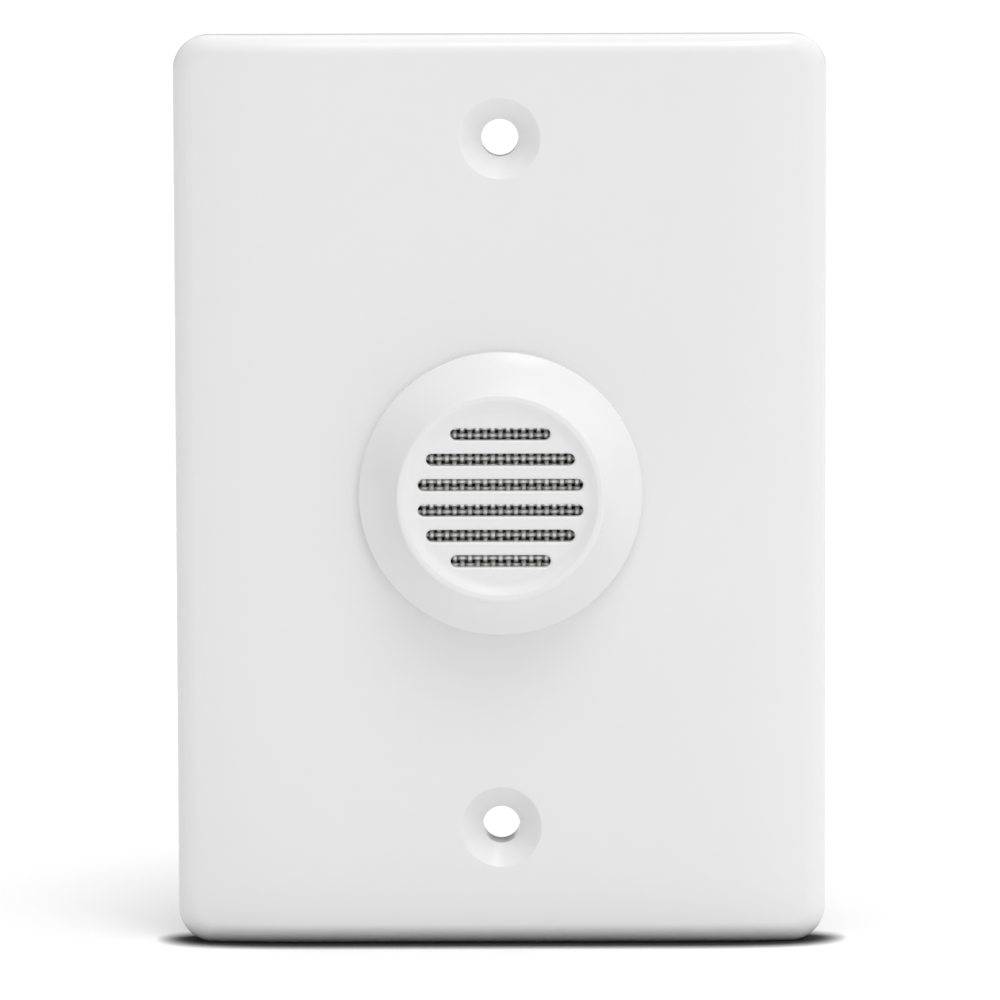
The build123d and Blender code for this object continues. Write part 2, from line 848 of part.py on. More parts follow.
pole_places = [(pole_x(pole), leg_middle_z) for pole in range(pole_count)]

with BuildPart() as main_board:
    with BuildSketch(wall_level(board_front)):
        with Locations((0, sounder_z)):
            Rectangle(board_width, board_height)
        with Locations(*corner_places(board_width / 2, board_height / 2)):
            Rectangle(2 * corner_notch, 2 * corner_notch, mode=Mode.SUBTRACT)
        with Locations(*post_places):
            Circle(board_screw_diameter / 2 + thread_gap, mode=Mode.SUBTRACT)
        with Locations(*pole_places):
            Rectangle(contact_width + 2 * pin_gap, contact_thickness + 2 * pin_gap, mode=Mode.SUBTRACT)
    extrude(amount=-board_thickness)

main_board.part.label = "main_board"
export_step(main_board.part, "parts/main_board.step")

with BuildPart() as board_screws:
    add(
        driven_screws(
            post_places,
            board_front,
            -1,
            board_screw_diameter,
            board_thickness + board_screw_bite,
            board_screw_head,
            board_screw_head_height,
        )
    )

board_screws.part.label = "board_screws"
export_step(board_screws.part, "parts/board_screws.step")

# Terminal block. In each pole a screw lifts a cage, which grips the wire under a fixed contact.

block_middle_z = (block_low_z + block_high_z) / 2
block_back_y = board_back + block_height
chamber_front_y = board_back + block_floor
chamber_back_y = block_back_y - block_roof
chamber_width = pole_pitch - block_wall
chamber_low_z = block_low_z + block_wall
chamber_high_z = block_high_z - block_back_wall
clamp_z = chamber_low_z + (chamber_high_z - chamber_low_z - contact_thickness) / 2
cage_half = chamber_width / 2 - cage_gap
cage_front_y = chamber_front_y + cage_end_gap
cage_inner_front_y = cage_front_y + cage_floor
cage_roof_back_y = chamber_back_y - clamp_travel - cage_end_gap
cage_roof_front_y = cage_roof_back_y - cage_floor
contact_back_y = cage_roof_front_y - contact_gap
contact_front_y = contact_back_y - contact_thickness
clamp_radius = clamp_screw_diameter / 2
clamp_head_back_y = block_back_y - clamp_screw_sink
clamp_head_front_y = clamp_head_back_y - clamp_screw_head_height
wire_middle_y = (cage_inner_front_y + contact_front_y) / 2

with BuildPart() as terminal_block:
    with BuildSketch(wall_level(board_back)):
        with Locations((0, block_middle_z)):
            Rectangle(block_width, block_depth)
    extrude(amount=-block_height)
    chamfer(
        terminal_block.edges().filter_by(Axis.X).sort_by(Axis.Y)[-2:], length=part_corner_round
    )
    for pole in range(pole_count):
        # chamber for the cage
        with BuildSketch(wall_level(chamber_front_y)):
            with Locations((pole_x(pole), (chamber_low_z + chamber_high_z) / 2)):
                Rectangle(chamber_width, chamber_high_z - chamber_low_z)
        extrude(amount=chamber_front_y - chamber_back_y, mode=Mode.SUBTRACT)
        # way in for the wire, from below
        with BuildSketch(Plane.XY.offset(block_low_z - overrun)):
            with Locations((pole_x(pole), wire_middle_y)):
                Rectangle(wire_way_width, wire_way_height)
        extrude(amount=block_wall + 2 * overrun, mode=Mode.SUBTRACT)
        # way in for the screwdriver, from the back
        with BuildSketch(wall_level(chamber_back_y - overrun)):
            with Locations((pole_x(pole), clamp_z)):
                Circle(clamp_screw_head / 2 + cage_gap)
        extrude(amount=-block_roof - 2 * overrun, mode=Mode.SUBTRACT)
        # hole in the floor for the contact's pin
        with BuildSketch(wall_level(board_back - overrun)):
            with Locations((pole_x(pole), leg_middle_z)):
                Rectangle(contact_width + 2 * pin_gap, contact_thickness + 2 * pin_gap)
        extrude(amount=-block_floor - 2 * overrun, mode=Mode.SUBTRACT)

terminal_block.part.label = "terminal_block"
export_step(terminal_block.part, "parts/terminal_block.step")

# Contacts: a flat bar through each cage, turned down at the back wall into a pin

bar_low_z = chamber_low_z + contact_gap

with BuildPart() as terminal_contacts:
    for pole in range(pole_count):
        with BuildSketch(Plane.YZ.offset(pole_x(pole) - contact_width / 2)):
            with BuildLine():
                Polyline(
                    (contact_back_y, bar_low_z),
                    (contact_back_y, bar_back_leg),
                    (board_front - pin_tail, bar_back_leg),
                    (board_front - pin_tail, bar_back_leg - contact_thickness),
                    (contact_front_y, bar_back_leg - contact_thickness),
                    (contact_front_y, bar_low_z),
                    close=True,
                )
            make_face()
        extrude(amount=contact_width)

terminal_contacts.part.label = "terminal_contacts"
export_step(terminal_contacts.part, "parts/terminal_contacts.step")

for pole in range(pole_count):
    with BuildPart() as terminal_screw:
        with BuildSketch(wall_level(clamp_head_front_y)):
            with Locations((pole_x(pole), clamp_z)):
                Circle(clamp_screw_head / 2)
        extrude(amount=-clamp_screw_head_height)
        with BuildSketch(wall_level(clamp_head_front_y)):
            with Locations((pole_x(pole), clamp_z)):
                Circle(clamp_radius)
        extrude(amount=clamp_head_front_y - contact_back_y - running_gap)
        with BuildSketch(wall_level(clamp_head_back_y)):
            with Locations((pole_x(pole), clamp_z)):
                Rectangle(clamp_screw_head + overrun, driver_slot_width)
        extrude(amount=driver_slot_depth, mode=Mode.SUBTRACT)

    terminal_screw.part.label = f"terminal_screw_{pole + 1}"
    export_step(terminal_screw.part, f"parts/terminal_screw_{pole + 1}.step")

    with BuildPart() as terminal_cage:
        with BuildSketch(wall_level(cage_front_y)):
            with Locations((pole_x(pole), clamp_z)):
                Rectangle(2 * cage_half, cage_length)
        extrude(amount=cage_front_y - cage_roof_back_y)
        with BuildSketch(wall_level(cage_inner_front_y)):
            with Locations((pole_x(pole), clamp_z)):
                Rectangle(2 * (cage_half - cage_wall), cage_length + overrun)
        extrude(amount=cage_inner_front_y - cage_roof_front_y, mode=Mode.SUBTRACT)
        with BuildSketch(wall_level(cage_roof_front_y - overrun)):
            with Locations((pole_x(pole), clamp_z)):
                Circle(clamp_radius + running_gap)
        extrude(amount=-cage_floor - 2 * overrun, mode=Mode.SUBTRACT)

    terminal_cage.part.label = f"terminal_cage_{pole + 1}"
    export_step(terminal_cage.part, f"parts/terminal_cage_{pole + 1}.step")

# Volume trimmer and its shaft, which reaches through the back of the housing

trimmer_back_y = board_back + trimmer_height
socket_floor_y = trimmer_back_y - trimmer_socket_depth

with BuildPart() as volume_trimmer:
    with BuildSketch(wall_level(board_back)):
        with Locations((setting_x, setting_z)):
            RectangleRounded(trimmer_size, trimmer_size, part_corner_round)
    extrude(amount=-trimmer_height)
    with BuildSketch(wall_level(socket_floor_y)):
        with Locations((setting_x, setting_z)):
            Circle(shaft_radius + running_gap)
    extrude(amount=-trimmer_socket_depth - overrun, mode=Mode.SUBTRACT)

volume_trimmer.part.label = "volume_trimmer"
export_step(volume_trimmer.part, "parts/volume_trimmer.step")

shaft_end_y = housing_back + shaft_proud

with BuildPart() as volume_shaft:
    with BuildSketch(wall_level(socket_floor_y + shaft_tip_gap)):
        with Locations((setting_x, setting_z)):
            Circle(shaft_radius)
    extrude(amount=socket_floor_y + shaft_tip_gap - shaft_end_y)
    chamfer(volume_shaft.faces().sort_by(Axis.Y)[-1].edges(), length=part_corner_round)
    with BuildSketch(wall_level(shaft_end_y)):
        with Locations((setting_x, setting_z)):
            Rectangle(shaft_diameter + overrun, driver_slot_width)
    extrude(amount=driver_slot_depth, mode=Mode.SUBTRACT)

volume_shaft.part.label = "volume_shaft"
export_step(volume_shaft.part, "parts/volume_shaft.step")

# Tune switch and its button

switch_back_y = board_back + switch_height
switch_floor_y = switch_back_y - switch_socket_depth
button_front_y = switch_floor_y + button_tip_gap + button_travel
button_end_y = housing_back + button_proud

with BuildPart() as tune_switch:
    with BuildSketch(wall_level(board_back)):
        with Locations((-setting_x, setting_z)):
            RectangleRounded(switch_size, switch_size, part_corner_round)
    extrude(amount=-switch_height)
    with BuildSketch(wall_level(switch_floor_y)):
        with Locations((-setting_x, setting_z)):
            Circle(button_radius + running_gap)
    extrude(amount=-switch_socket_depth - overrun, mode=Mode.SUBTRACT)

tune_switch.part.label = "tune_switch"
export_step(tune_switch.part, "parts/tune_switch.step")

with BuildPart() as tune_button:
    with BuildSketch(wall_level(button_front_y)):
        with Locations((-setting_x, setting_z)):
            Circle(button_radius)
    extrude(amount=button_front_y - button_end_y)
    fillet(tune_button.faces().sort_by(Axis.Y)[-1].edges(), part_corner_round)

tune_button.part.label = "tune_button"
export_step(tune_button.part, "parts/tune_button.step")

# Loudspeaker wiring: header on the board's front below the contacts' pins, plug in it, and two
# leads to the lugs

header_z = leg_middle_z - contact_thickness / 2 - header_pin_gap - header_depth / 2
header_front_y = board_front - header_height
plug_back_y = board_front - header_floor - plug_gap
plug_front_y = header_front_y - plug_proud

with BuildPart() as speaker_header:
    with BuildSketch(wall_level(board_front)):
        with Locations((0, header_z)):
            Rectangle(header_width, header_depth)
    extrude(amount=header_height)
    with BuildSketch(wall_level(board_front - header_floor)):
        with Locations((0, header_z)):
            Rectangle(header_width - 2 * header_wall, header_depth - 2 * header_wall)
    extrude(amount=header_height, mode=Mode.SUBTRACT)

speaker_header.part.label = "speaker_header"
export_step(speaker_header.part, "parts/speaker_header.step")

with BuildPart() as speaker_plug:
    with BuildSketch(wall_level(plug_back_y)):
        with Locations((0, header_z)):
            Rectangle(
                header_width - 2 * (header_wall + plug_gap), header_depth - 2 * (header_wall + plug_gap)
            )
    extrude(amount=plug_back_y - plug_front_y)

speaker_plug.part.label = "speaker_plug"
export_step(speaker_plug.part, "parts/speaker_plug.step")

lug_y = basket_back_y + lug_board_thickness
lead_back_y = neck_end_y + lead_rise


def speaker_lead(side):
    """One lead: back from its lug, down past the neck, and back again into the plug."""
    lead_x = side * lead_spacing / 2
    route = [
        (lead_x, lug_y, lug_board_middle),
        (lead_x, lead_back_y - lead_rise / 2, lug_board_middle),
        (lead_x, lead_back_y - lead_rise / 2, header_z),
        (lead_x, plug_front_y, header_z),
    ]
    with BuildPart() as lead:
        with BuildLine():
            FilletPolyline(*route, radius=lead_bend)
        with BuildSketch(Plane(origin=route[0], z_dir=(0, 1, 0))):
            Circle(lead_diameter / 2)
        sweep()
    return lead.part


with BuildPart() as speaker_lead_red:
    add(speaker_lead(1))

speaker_lead_red.part.label = "speaker_lead_red"
export_step(speaker_lead_red.part, "parts/speaker_lead_red.step")

with BuildPart() as speaker_lead_black:
    add(speaker_lead(-1))

speaker_lead_black.part.label = "speaker_lead_black"
export_step(speaker_lead_black.part, "parts/speaker_lead_black.step")

# Parts on the board. A place is a share of the board's half width, out from its middle, and a
# share of its height above the terminal block.

board_top_z = sounder_z + board_height / 2
filter_place_shares = (-0.56, 0.162)
coupling_place_shares = (-0.74, 0.398)
bridge_place_shares = (0.5, 0.162)
fuse_place_shares = (0.0, 0.138)
regulator_place_shares = (-0.1, 0.315)
crystal_place_shares = (0.42, 0.41)
sound_chip_place_shares = (0.0, 0.705)
amplifier_chip_place_shares = (0.5, 0.292)


def board_place(shares):
    """A place on the board from its two shares."""
    return (
        shares[0] * board_width / 2,
        block_high_z + shares[1] * (board_top_z - block_high_z),
    )


def electrolytic(place, diameter, height):
    """A capacitor can standing on the board's back, with the groove near its foot."""
    groove_y = board_back + height * can_groove_share
    groove = diameter * can_groove_depth_share
    axis = Axis((place[0], 0, place[1]), (0, 1, 0))
    with BuildPart() as can:
        with BuildSketch(Plane((place[0], 0, place[1]))):
            with BuildLine():
                Polyline(
                    (0, board_back),
                    (diameter / 2, board_back),
                    (diameter / 2, groove_y - groove),
                    (diameter / 2 - groove, groove_y),
                    (diameter / 2, groove_y + groove),
                    (diameter / 2, board_back + height - groove),
                    (diameter / 2 - groove, board_back + height),
                    (0, board_back + height),
                    close=True,
                )
            make_face()
        revolve(axis=axis)
    return can.part


def chip_package(place, length, width, height, legs_per_side):
    """A chip on the board's front, with a row of bent legs along each long side."""
    with BuildPart() as chip:
        with BuildSketch(wall_level(board_front - chip_leg_thickness)):
            with Locations(place):
                Rectangle(length, width)
        extrude(amount=height - chip_leg_thickness)
        with BuildSketch(wall_level(board_front)):
            with Locations(place):
                with GridLocations(chip_leg_pitch, width + chip_leg_reach, legs_per_side, 2):
                    Rectangle(chip_leg_width, chip_leg_reach)
        extrude(amount=chip_leg_thickness + height / 2)
    return chip.part


with BuildPart() as filter_capacitor:
    add(electrolytic(board_place(filter_place_shares), filter_can_diameter, filter_can_height))

filter_capacitor.part.label = "filter_capacitor"
export_step(filter_capacitor.part, "parts/filter_capacitor.step")

with BuildPart() as coupling_capacitor:
    add(electrolytic(board_place(coupling_place_shares), coupling_can_diameter, coupling_can_height))

coupling_capacitor.part.label = "coupling_capacitor"
export_step(coupling_capacitor.part, "parts/coupling_capacitor.step")

with BuildPart() as bridge_rectifier:
    with BuildSketch(wall_level(board_back)):
        with Locations(board_place(bridge_place_shares)):
            RectangleRounded(bridge_length, bridge_width, part_corner_round)
    extrude(amount=-bridge_height)

bridge_rectifier.part.label = "bridge_rectifier"
export_step(bridge_rectifier.part, "parts/bridge_rectifier.step")

with BuildPart() as voltage_regulator:
    with BuildSketch(wall_level(board_back + regulator_leg)):
        with Locations(board_place(regulator_place_shares)):
            Rectangle(regulator_width, regulator_depth)
    extrude(amount=-regulator_height)
    fillet(voltage_regulator.edges().filter_by(Axis.Y).group_by(Axis.Z)[-1], regulator_face_round)
    with BuildSketch(wall_level(board_back)):
        with Locations(board_place(regulator_place_shares)):
            with GridLocations(chip_leg_pitch, 0, regulator_legs, 1):
                Rectangle(leg_wire, leg_wire)
    extrude(amount=-regulator_leg)

voltage_regulator.part.label = "voltage_regulator"
export_step(voltage_regulator.part, "parts/voltage_regulator.step")

with BuildPart() as resettable_fuse:
    with BuildSketch(wall_level(board_back)):
        with Locations(board_place(fuse_place_shares)):
            Rectangle(fuse_width, fuse_thickness)
    extrude(amount=-fuse_height)
    fillet(resettable_fuse.edges().filter_by(Axis.Z).sort_by(Axis.Y)[-2:], fuse_top_round)

resettable_fuse.part.label = "resettable_fuse"
export_step(resettable_fuse.part, "parts/resettable_fuse.step")

with BuildPart() as crystal:
    with BuildSketch(wall_level(board_back)):
        with Locations(board_place(crystal_place_shares)):
            SlotOverall(crystal_length, crystal_width)
    extrude(amount=-crystal_height)

crystal.part.label = "crystal"
export_step(crystal.part, "parts/crystal.step")

with BuildPart() as sound_chip:
    add(
        chip_package(
            board_place(sound_chip_place_shares),
            sound_chip_length,
            sound_chip_width,
            sound_chip_height,
            sound_chip_legs,
        )
    )

sound_chip.part.label = "sound_chip"
export_step(sound_chip.part, "parts/sound_chip.step")

with BuildPart() as amplifier_chip:
    add(
        chip_package(
            board_place(amplifier_chip_place_shares),
            amplifier_chip_length,
            amplifier_chip_width,
            amplifier_chip_height,
            amplifier_chip_legs,
        )
    )

amplifier_chip.part.label = "amplifier_chip"
export_step(amplifier_chip.part, "parts/amplifier_chip.step")

# Chip resistors and capacitors on the board's front

resistor_place_shares = (
    (-0.7, 0.516),
    (-0.5, 0.516),
    (-0.3, 0.516),
    (-0.1, 0.516),
    (-0.62, 0.351),
    (-0.62, 0.28),
    (-0.62, 0.209),
)
capacitor_place_shares = (
    (0.1, 0.516),
    (0.3, 0.516),
    (0.5, 0.516),
    (0.7, 0.516),
    (0.5, 0.162),
    (0.5, 0.091),
)


def chip_group(shares_list, height):
    """Small two-ended chips at the given places on the board's front."""
    with BuildPart() as chips:
        with BuildSketch(wall_level(board_front)):
            with Locations(*[board_place(shares) for shares in shares_list]):
                Rectangle(chip_resistor_length, chip_resistor_width)
        extrude(amount=height)
    return chips.part


with BuildPart() as chip_resistors:
    add(chip_group(resistor_place_shares, chip_resistor_height))

chip_resistors.part.label = "chip_resistors"
export_step(chip_resistors.part, "parts/chip_resistors.step")

with BuildPart() as chip_capacitors:
    add(chip_group(capacitor_place_shares, chip_capacitor_height))

chip_capacitors.part.label = "chip_capacitors"
export_step(chip_capacitors.part, "parts/chip_capacitors.step")
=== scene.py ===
"""Doorbell chime box: the plate, sounder and mesh are modelled here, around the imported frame.

Lengths are in metres. X runs to the right and Z up, seen from the front, which faces -Y.
"""

import json
import logging
import math
from collections.abc import Callable
from dataclasses import dataclass, field
from enum import Enum

import bpy
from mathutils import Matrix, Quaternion, Vector


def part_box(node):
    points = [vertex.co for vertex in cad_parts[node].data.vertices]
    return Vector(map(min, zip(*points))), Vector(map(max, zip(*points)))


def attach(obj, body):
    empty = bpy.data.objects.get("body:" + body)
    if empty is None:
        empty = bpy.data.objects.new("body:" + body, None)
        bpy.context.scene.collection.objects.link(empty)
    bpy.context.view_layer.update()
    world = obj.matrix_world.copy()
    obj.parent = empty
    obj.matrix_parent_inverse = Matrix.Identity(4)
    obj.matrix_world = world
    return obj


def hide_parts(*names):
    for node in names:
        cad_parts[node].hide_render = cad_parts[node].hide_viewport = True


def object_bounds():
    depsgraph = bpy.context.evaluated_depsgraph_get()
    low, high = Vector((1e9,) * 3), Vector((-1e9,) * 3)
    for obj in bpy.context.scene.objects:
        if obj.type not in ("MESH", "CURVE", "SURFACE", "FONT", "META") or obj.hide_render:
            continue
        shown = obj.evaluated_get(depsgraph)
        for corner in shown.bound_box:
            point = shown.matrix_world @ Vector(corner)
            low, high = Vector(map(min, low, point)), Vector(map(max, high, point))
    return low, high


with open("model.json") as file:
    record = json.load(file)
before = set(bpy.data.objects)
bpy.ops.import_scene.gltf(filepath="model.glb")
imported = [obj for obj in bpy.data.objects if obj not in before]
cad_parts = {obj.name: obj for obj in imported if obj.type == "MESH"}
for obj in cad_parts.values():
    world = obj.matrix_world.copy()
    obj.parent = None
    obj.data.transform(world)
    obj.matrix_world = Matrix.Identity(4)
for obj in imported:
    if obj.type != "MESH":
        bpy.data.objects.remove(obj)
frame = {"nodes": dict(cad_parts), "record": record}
cad_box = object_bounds()

log = logging.getLogger("chime")
MM = 0.001
HAIR = 0.01 * MM
SPECK = 0.001 * MM
MAIN_BODY = "chime"

Colour = tuple[float, float, float]
Point = tuple[float, float, float]
Pair = tuple[float, float]


class Keep(Enum):
    """Whether a tool's space is taken from a piece or added to it."""

    DIFFERENCE = "DIFFERENCE"
    UNION = "UNION"


class Bench:
    """Small modelling moves shared by every sub-assembly."""

    @staticmethod
    def clear() -> None:
        """Leave edit mode and deselect everything."""
        if bpy.context.object and bpy.context.object.mode != "OBJECT":
            bpy.ops.object.mode_set(mode="OBJECT")
        bpy.ops.object.select_all(action="DESELECT")

    @staticmethod
    def hold(piece: bpy.types.Object) -> None:
        """Make one piece the only selected and active one."""
        Bench.clear()
        piece.select_set(True)
        bpy.context.view_layer.objects.active = piece

    @staticmethod
    def name_new(name: str) -> bpy.types.Object:
        """Name the primitive that was just added, and put its place into its mesh."""
        piece = bpy.context.object
        piece.name = name
        piece.data.name = name
        bpy.ops.object.transform_apply(location=True, rotation=True, scale=True)
        return piece

    @staticmethod
    def block(name: str, low: Point, high: Point) -> bpy.types.Object:
        """Add a box between two corners."""
        Bench.clear()
        middle = [(a + b) / 2 for a, b in zip(low, high)]
        bpy.ops.mesh.primitive_cube_add(size=1, location=middle)
        bpy.context.object.scale = [b - a for a, b in zip(low, high)]
        return Bench.name_new(name)

    @staticmethod
    def rod(name: str, radius: float, y_range: Pair, place: Pair, sides: int) -> bpy.types.Object:
        """Add a cylinder whose axis runs along Y.

        Args:
            name: the new object's name.
            radius: its radius.
            y_range: where it starts and ends along Y.
            place: its axis as X and Z.
            sides: how many flats go round it.

        Returns:
            The cylinder.
        """
        Bench.clear()
        bpy.ops.mesh.primitive_cylinder_add(
            vertices=sides, radius=radius, depth=y_range[1] - y_range[0],
            location=(place[0], sum(y_range) / 2, place[1]), rotation=(math.pi / 2, 0, 0))
        return Bench.name_new(name)

    @staticmethod
    def spin(name: str, outline: list[Pair], place: Pair, steps: int, start: float = 0.0) -> bpy.types.Object:
        """Turn an outline about an axis along Y.

        Args:
            name: the new object's name.
            outline: points as radius and Y, one after another; a closed ring if the first is last.
            place: the axis as X and Z.
            steps: how many steps go round.
            start: the angle at which the outline starts.

        Returns:
            The turned piece, with its doubles merged and its faces pointing outwards.
        """
        Bench.clear()
        bpy.ops.mesh.primitive_plane_add(size=MM)
        piece = Bench.name_new(name)
        mesh = piece.data
        mesh.clear_geometry()
        closed = outline[0] == outline[-1]
        points = outline[:-1] if closed else outline
        mesh.vertices.add(len(points))
        for vertex, (radius, y) in zip(mesh.vertices, points):
            vertex.co = (place[0] + radius * math.cos(start), y, place[1] + radius * math.sin(start))
        links = len(points) if closed else len(points) - 1
        mesh.edges.add(links)
        for index, edge in enumerate(mesh.edges):
            edge.vertices = (index, (index + 1) % len(points))
        mesh.update()
        Bench.hold(piece)
        bpy.ops.object.mode_set(mode="EDIT")
        bpy.ops.mesh.select_all(action="SELECT")
        bpy.ops.mesh.spin(steps=steps, angle=2 * math.pi, center=(place[0], 0, place[1]), axis=(0, 1, 0))
        bpy.ops.mesh.select_all(action="SELECT")
        bpy.ops.mesh.remove_doubles(threshold=SPECK)
        bpy.ops.mesh.normals_make_consistent(inside=False)
        Bench.done()
        return piece

    @staticmethod
    def pick_edges(piece: bpy.types.Object, test: Callable[[Vector, Vector], bool]) -> None:
        """Select only the edges of a piece whose two ends pass a test.

        Args:
            piece: the mesh object, which is left in edit mode.
            test: called with each edge's two ends; true for those wanted.
        """
        Bench.hold(piece)
        bpy.ops.object.mode_set(mode="EDIT")
        bpy.ops.mesh.select_mode(type="EDGE")
        bpy.ops.mesh.select_all(action="DESELECT")
        Bench.done()
        vertices = piece.data.vertices
        for edge in piece.data.edges:
            edge.select = test(*(vertices[index].co for index in edge.vertices))
        bpy.ops.object.mode_set(mode="EDIT")

    @staticmethod
    def done() -> None:
        """Back to object mode."""
        bpy.ops.object.mode_set(mode="OBJECT")

    @staticmethod
    def combine(piece: bpy.types.Object, tool: bpy.types.Object, keep: Keep) -> None:
        """Cut the piece with the tool, or add the tool to it, and delete the tool."""
        Bench.hold(piece)
        change = piece.modifiers.new("cut", "BOOLEAN")
        change.operation = keep.value
        change.solver = "EXACT"
        change.object = tool
        bpy.ops.object.modifier_apply(modifier=change.name)
        bpy.data.objects.remove(tool)

    @staticmethod
    def join(pieces: list[bpy.types.Object], name: str) -> bpy.types.Object:
        """Join several objects into the first of them."""
        Bench.clear()
        for piece in pieces:
            piece.select_set(True)
        bpy.context.view_layer.objects.active = pieces[0]
        bpy.ops.object.join()
        pieces[0].name = name
        return pieces[0]

    @staticmethod
    def smooth(piece: bpy.types.Object, angle: float) -> None:
        """Shade smoothly under an angle in degrees, and keep the large flat faces flat."""
        Bench.hold(piece)
        bpy.ops.object.shade_smooth_by_angle(angle=math.radians(angle))
        weight = piece.modifiers.new("flats", "WEIGHTED_NORMAL")
        weight.mode = "FACE_AREA"
        weight.keep_sharp = True
        bpy.ops.object.modifier_apply(modifier=weight.name)


def arc(centre: Pair, radius: float, first: float, last: float, steps: int) -> list[Pair]:
    """Points of an arc in the radius and Y plane, from one angle in degrees to another."""
    turns = [math.radians(first + (last - first) * step / steps) for step in range(steps + 1)]
    return [(centre[0] + radius * math.cos(turn), centre[1] + radius * math.sin(turn)) for turn in turns]


def bowed(first: Pair, last: Pair, bulge: float, steps: int) -> list[Pair]:
    """Points of a shallow arc between two points, standing out by bulge at its middle."""
    run = Vector(last) - Vector(first)
    out = Vector((-run.y, run.x)).normalized()
    points = []
    for step in range(steps + 1):
        share = step / steps
        points.append(tuple(Vector(first) + run * share + out * bulge * 4 * share * (1 - share)))
    return points


def round_corner(before: Pair, corner: Pair, after: Pair, radius: float, steps: int) -> list[Pair]:
    """Points of the arc that rounds a corner between two straight runs.

    Args:
        before: a point on the run into the corner.
        corner: the sharp corner.
        after: a point on the run out of it.
        radius: the arc's radius.
        steps: how many steps it has.

    Returns:
        The arc's points, from the run in to the run out.
    """
    into = (Vector(before) - Vector(corner)).normalized()
    away = (Vector(after) - Vector(corner)).normalized()
    half = into.angle(away) / 2
    reach = radius / math.tan(half)
    centre = Vector(corner) + (into + away).normalized() * (radius / math.sin(half))
    first, last = Vector(corner) + into * reach, Vector(corner) + away * reach
    start = math.atan2(first.y - centre.y, first.x - centre.x)
    turn = math.atan2(last.y - centre.y, last.x - centre.x) - start
    turn = (turn + math.pi) % (2 * math.pi) - math.pi
    points = []
    for step in range(steps + 1):
        angle = start + turn * step / steps
        points.append((centre.x + radius * math.cos(angle), centre.y + radius * math.sin(angle)))
    return points


# Finishes

PATCH_DETAIL = 4.0
GRAIN_DETAIL = 3.0


def shared_group(name: str, inputs: dict[str, str], outputs: dict[str, str]) -> bpy.types.NodeTree:
    """Start a shader node group with named inputs and outputs.

    Args:
        name: the group's name.
        inputs: each input's socket type.
        outputs: each output's socket type.

    Returns:
        The new node tree, with its group input and output nodes.
    """
    tree = bpy.data.node_groups.new(name, "ShaderNodeTree")
    for label, kind in inputs.items():
        tree.interface.new_socket(label, in_out="INPUT", socket_type=kind)
    for label, kind in outputs.items():
        tree.interface.new_socket(label, in_out="OUTPUT", socket_type=kind)
    tree.nodes.new("NodeGroupInput").name = "In"
    tree.nodes.new("NodeGroupOutput").name = "Out"
    return tree


def tone_and_grain() -> bpy.types.NodeTree:
    """The moulded, painted or plated surface that every finish starts from.

    Returns:
        A group that spreads a colour a little over the piece, varies its roughness in soft
        patches, and raises a fine grain over a wider, shallower waviness.
    """
    amounts = ("Tone Spread", "Patch Scale", "Roughness", "Roughness Spread", "Grain Scale", "Grain Height",
               "Wave Height")
    tree = shared_group(
        "tone_and_grain",
        {"Colour": "NodeSocketColor", **dict.fromkeys(amounts, "NodeSocketFloat"),
         "Stretch": "NodeSocketVector"},
        {"Colour": "NodeSocketColor", "Roughness": "NodeSocketFloat", "Normal": "NodeSocketVector"},
    )
    nodes, links = tree.nodes, tree.links
    given, out = nodes["In"], nodes["Out"]
    place = nodes.new("ShaderNodeTexCoord")
    stretch = nodes.new("ShaderNodeVectorMath")
    stretch.operation = "MULTIPLY"
    links.new(place.outputs["Object"], stretch.inputs[0])
    links.new(given.outputs["Stretch"], stretch.inputs[1])
    patches = nodes.new("ShaderNodeTexNoise")
    patches.inputs["Detail"].default_value = PATCH_DETAIL
    links.new(place.outputs["Object"], patches.inputs["Vector"])
    links.new(given.outputs["Patch Scale"], patches.inputs["Scale"])
    grain = nodes.new("ShaderNodeTexNoise")
    grain.inputs["Detail"].default_value = GRAIN_DETAIL
    links.new(stretch.outputs[0], grain.inputs["Vector"])
    links.new(given.outputs["Grain Scale"], grain.inputs["Scale"])

    def spread(amount: str) -> bpy.types.NodeSocket:
        """The patches, centred on zero and scaled by one of the group's inputs."""
        centred = nodes.new("ShaderNodeMath")
        centred.operation = "SUBTRACT"
        centred.inputs[1].default_value = 0.5
        links.new(patches.outputs["Fac"], centred.inputs[0])
        scaled = nodes.new("ShaderNodeMath")
        scaled.operation = "MULTIPLY"
        links.new(centred.outputs[0], scaled.inputs[0])
        links.new(given.outputs[amount], scaled.inputs[1])
        return scaled.outputs[0]

    lift = nodes.new("ShaderNodeMath")
    lift.inputs[1].default_value = 1.0
    links.new(spread("Tone Spread"), lift.inputs[0])
    tone = nodes.new("ShaderNodeHueSaturation")
    links.new(lift.outputs[0], tone.inputs["Value"])
    links.new(given.outputs["Colour"], tone.inputs["Color"])
    links.new(tone.outputs["Color"], out.inputs["Colour"])
    rough = nodes.new("ShaderNodeMath")
    links.new(given.outputs["Roughness"], rough.inputs[0])
    links.new(spread("Roughness Spread"), rough.inputs[1])
    links.new(rough.outputs[0], out.inputs["Roughness"])
    wave = nodes.new("ShaderNodeBump")
    links.new(patches.outputs["Fac"], wave.inputs["Height"])
    links.new(given.outputs["Wave Height"], wave.inputs["Distance"])
    fine = nodes.new("ShaderNodeBump")
    links.new(grain.outputs["Fac"], fine.inputs["Height"])
    links.new(given.outputs["Grain Height"], fine.inputs["Distance"])
    links.new(wave.outputs["Normal"], fine.inputs["Normal"])
    links.new(fine.outputs["Normal"], out.inputs["Normal"])
    return tree


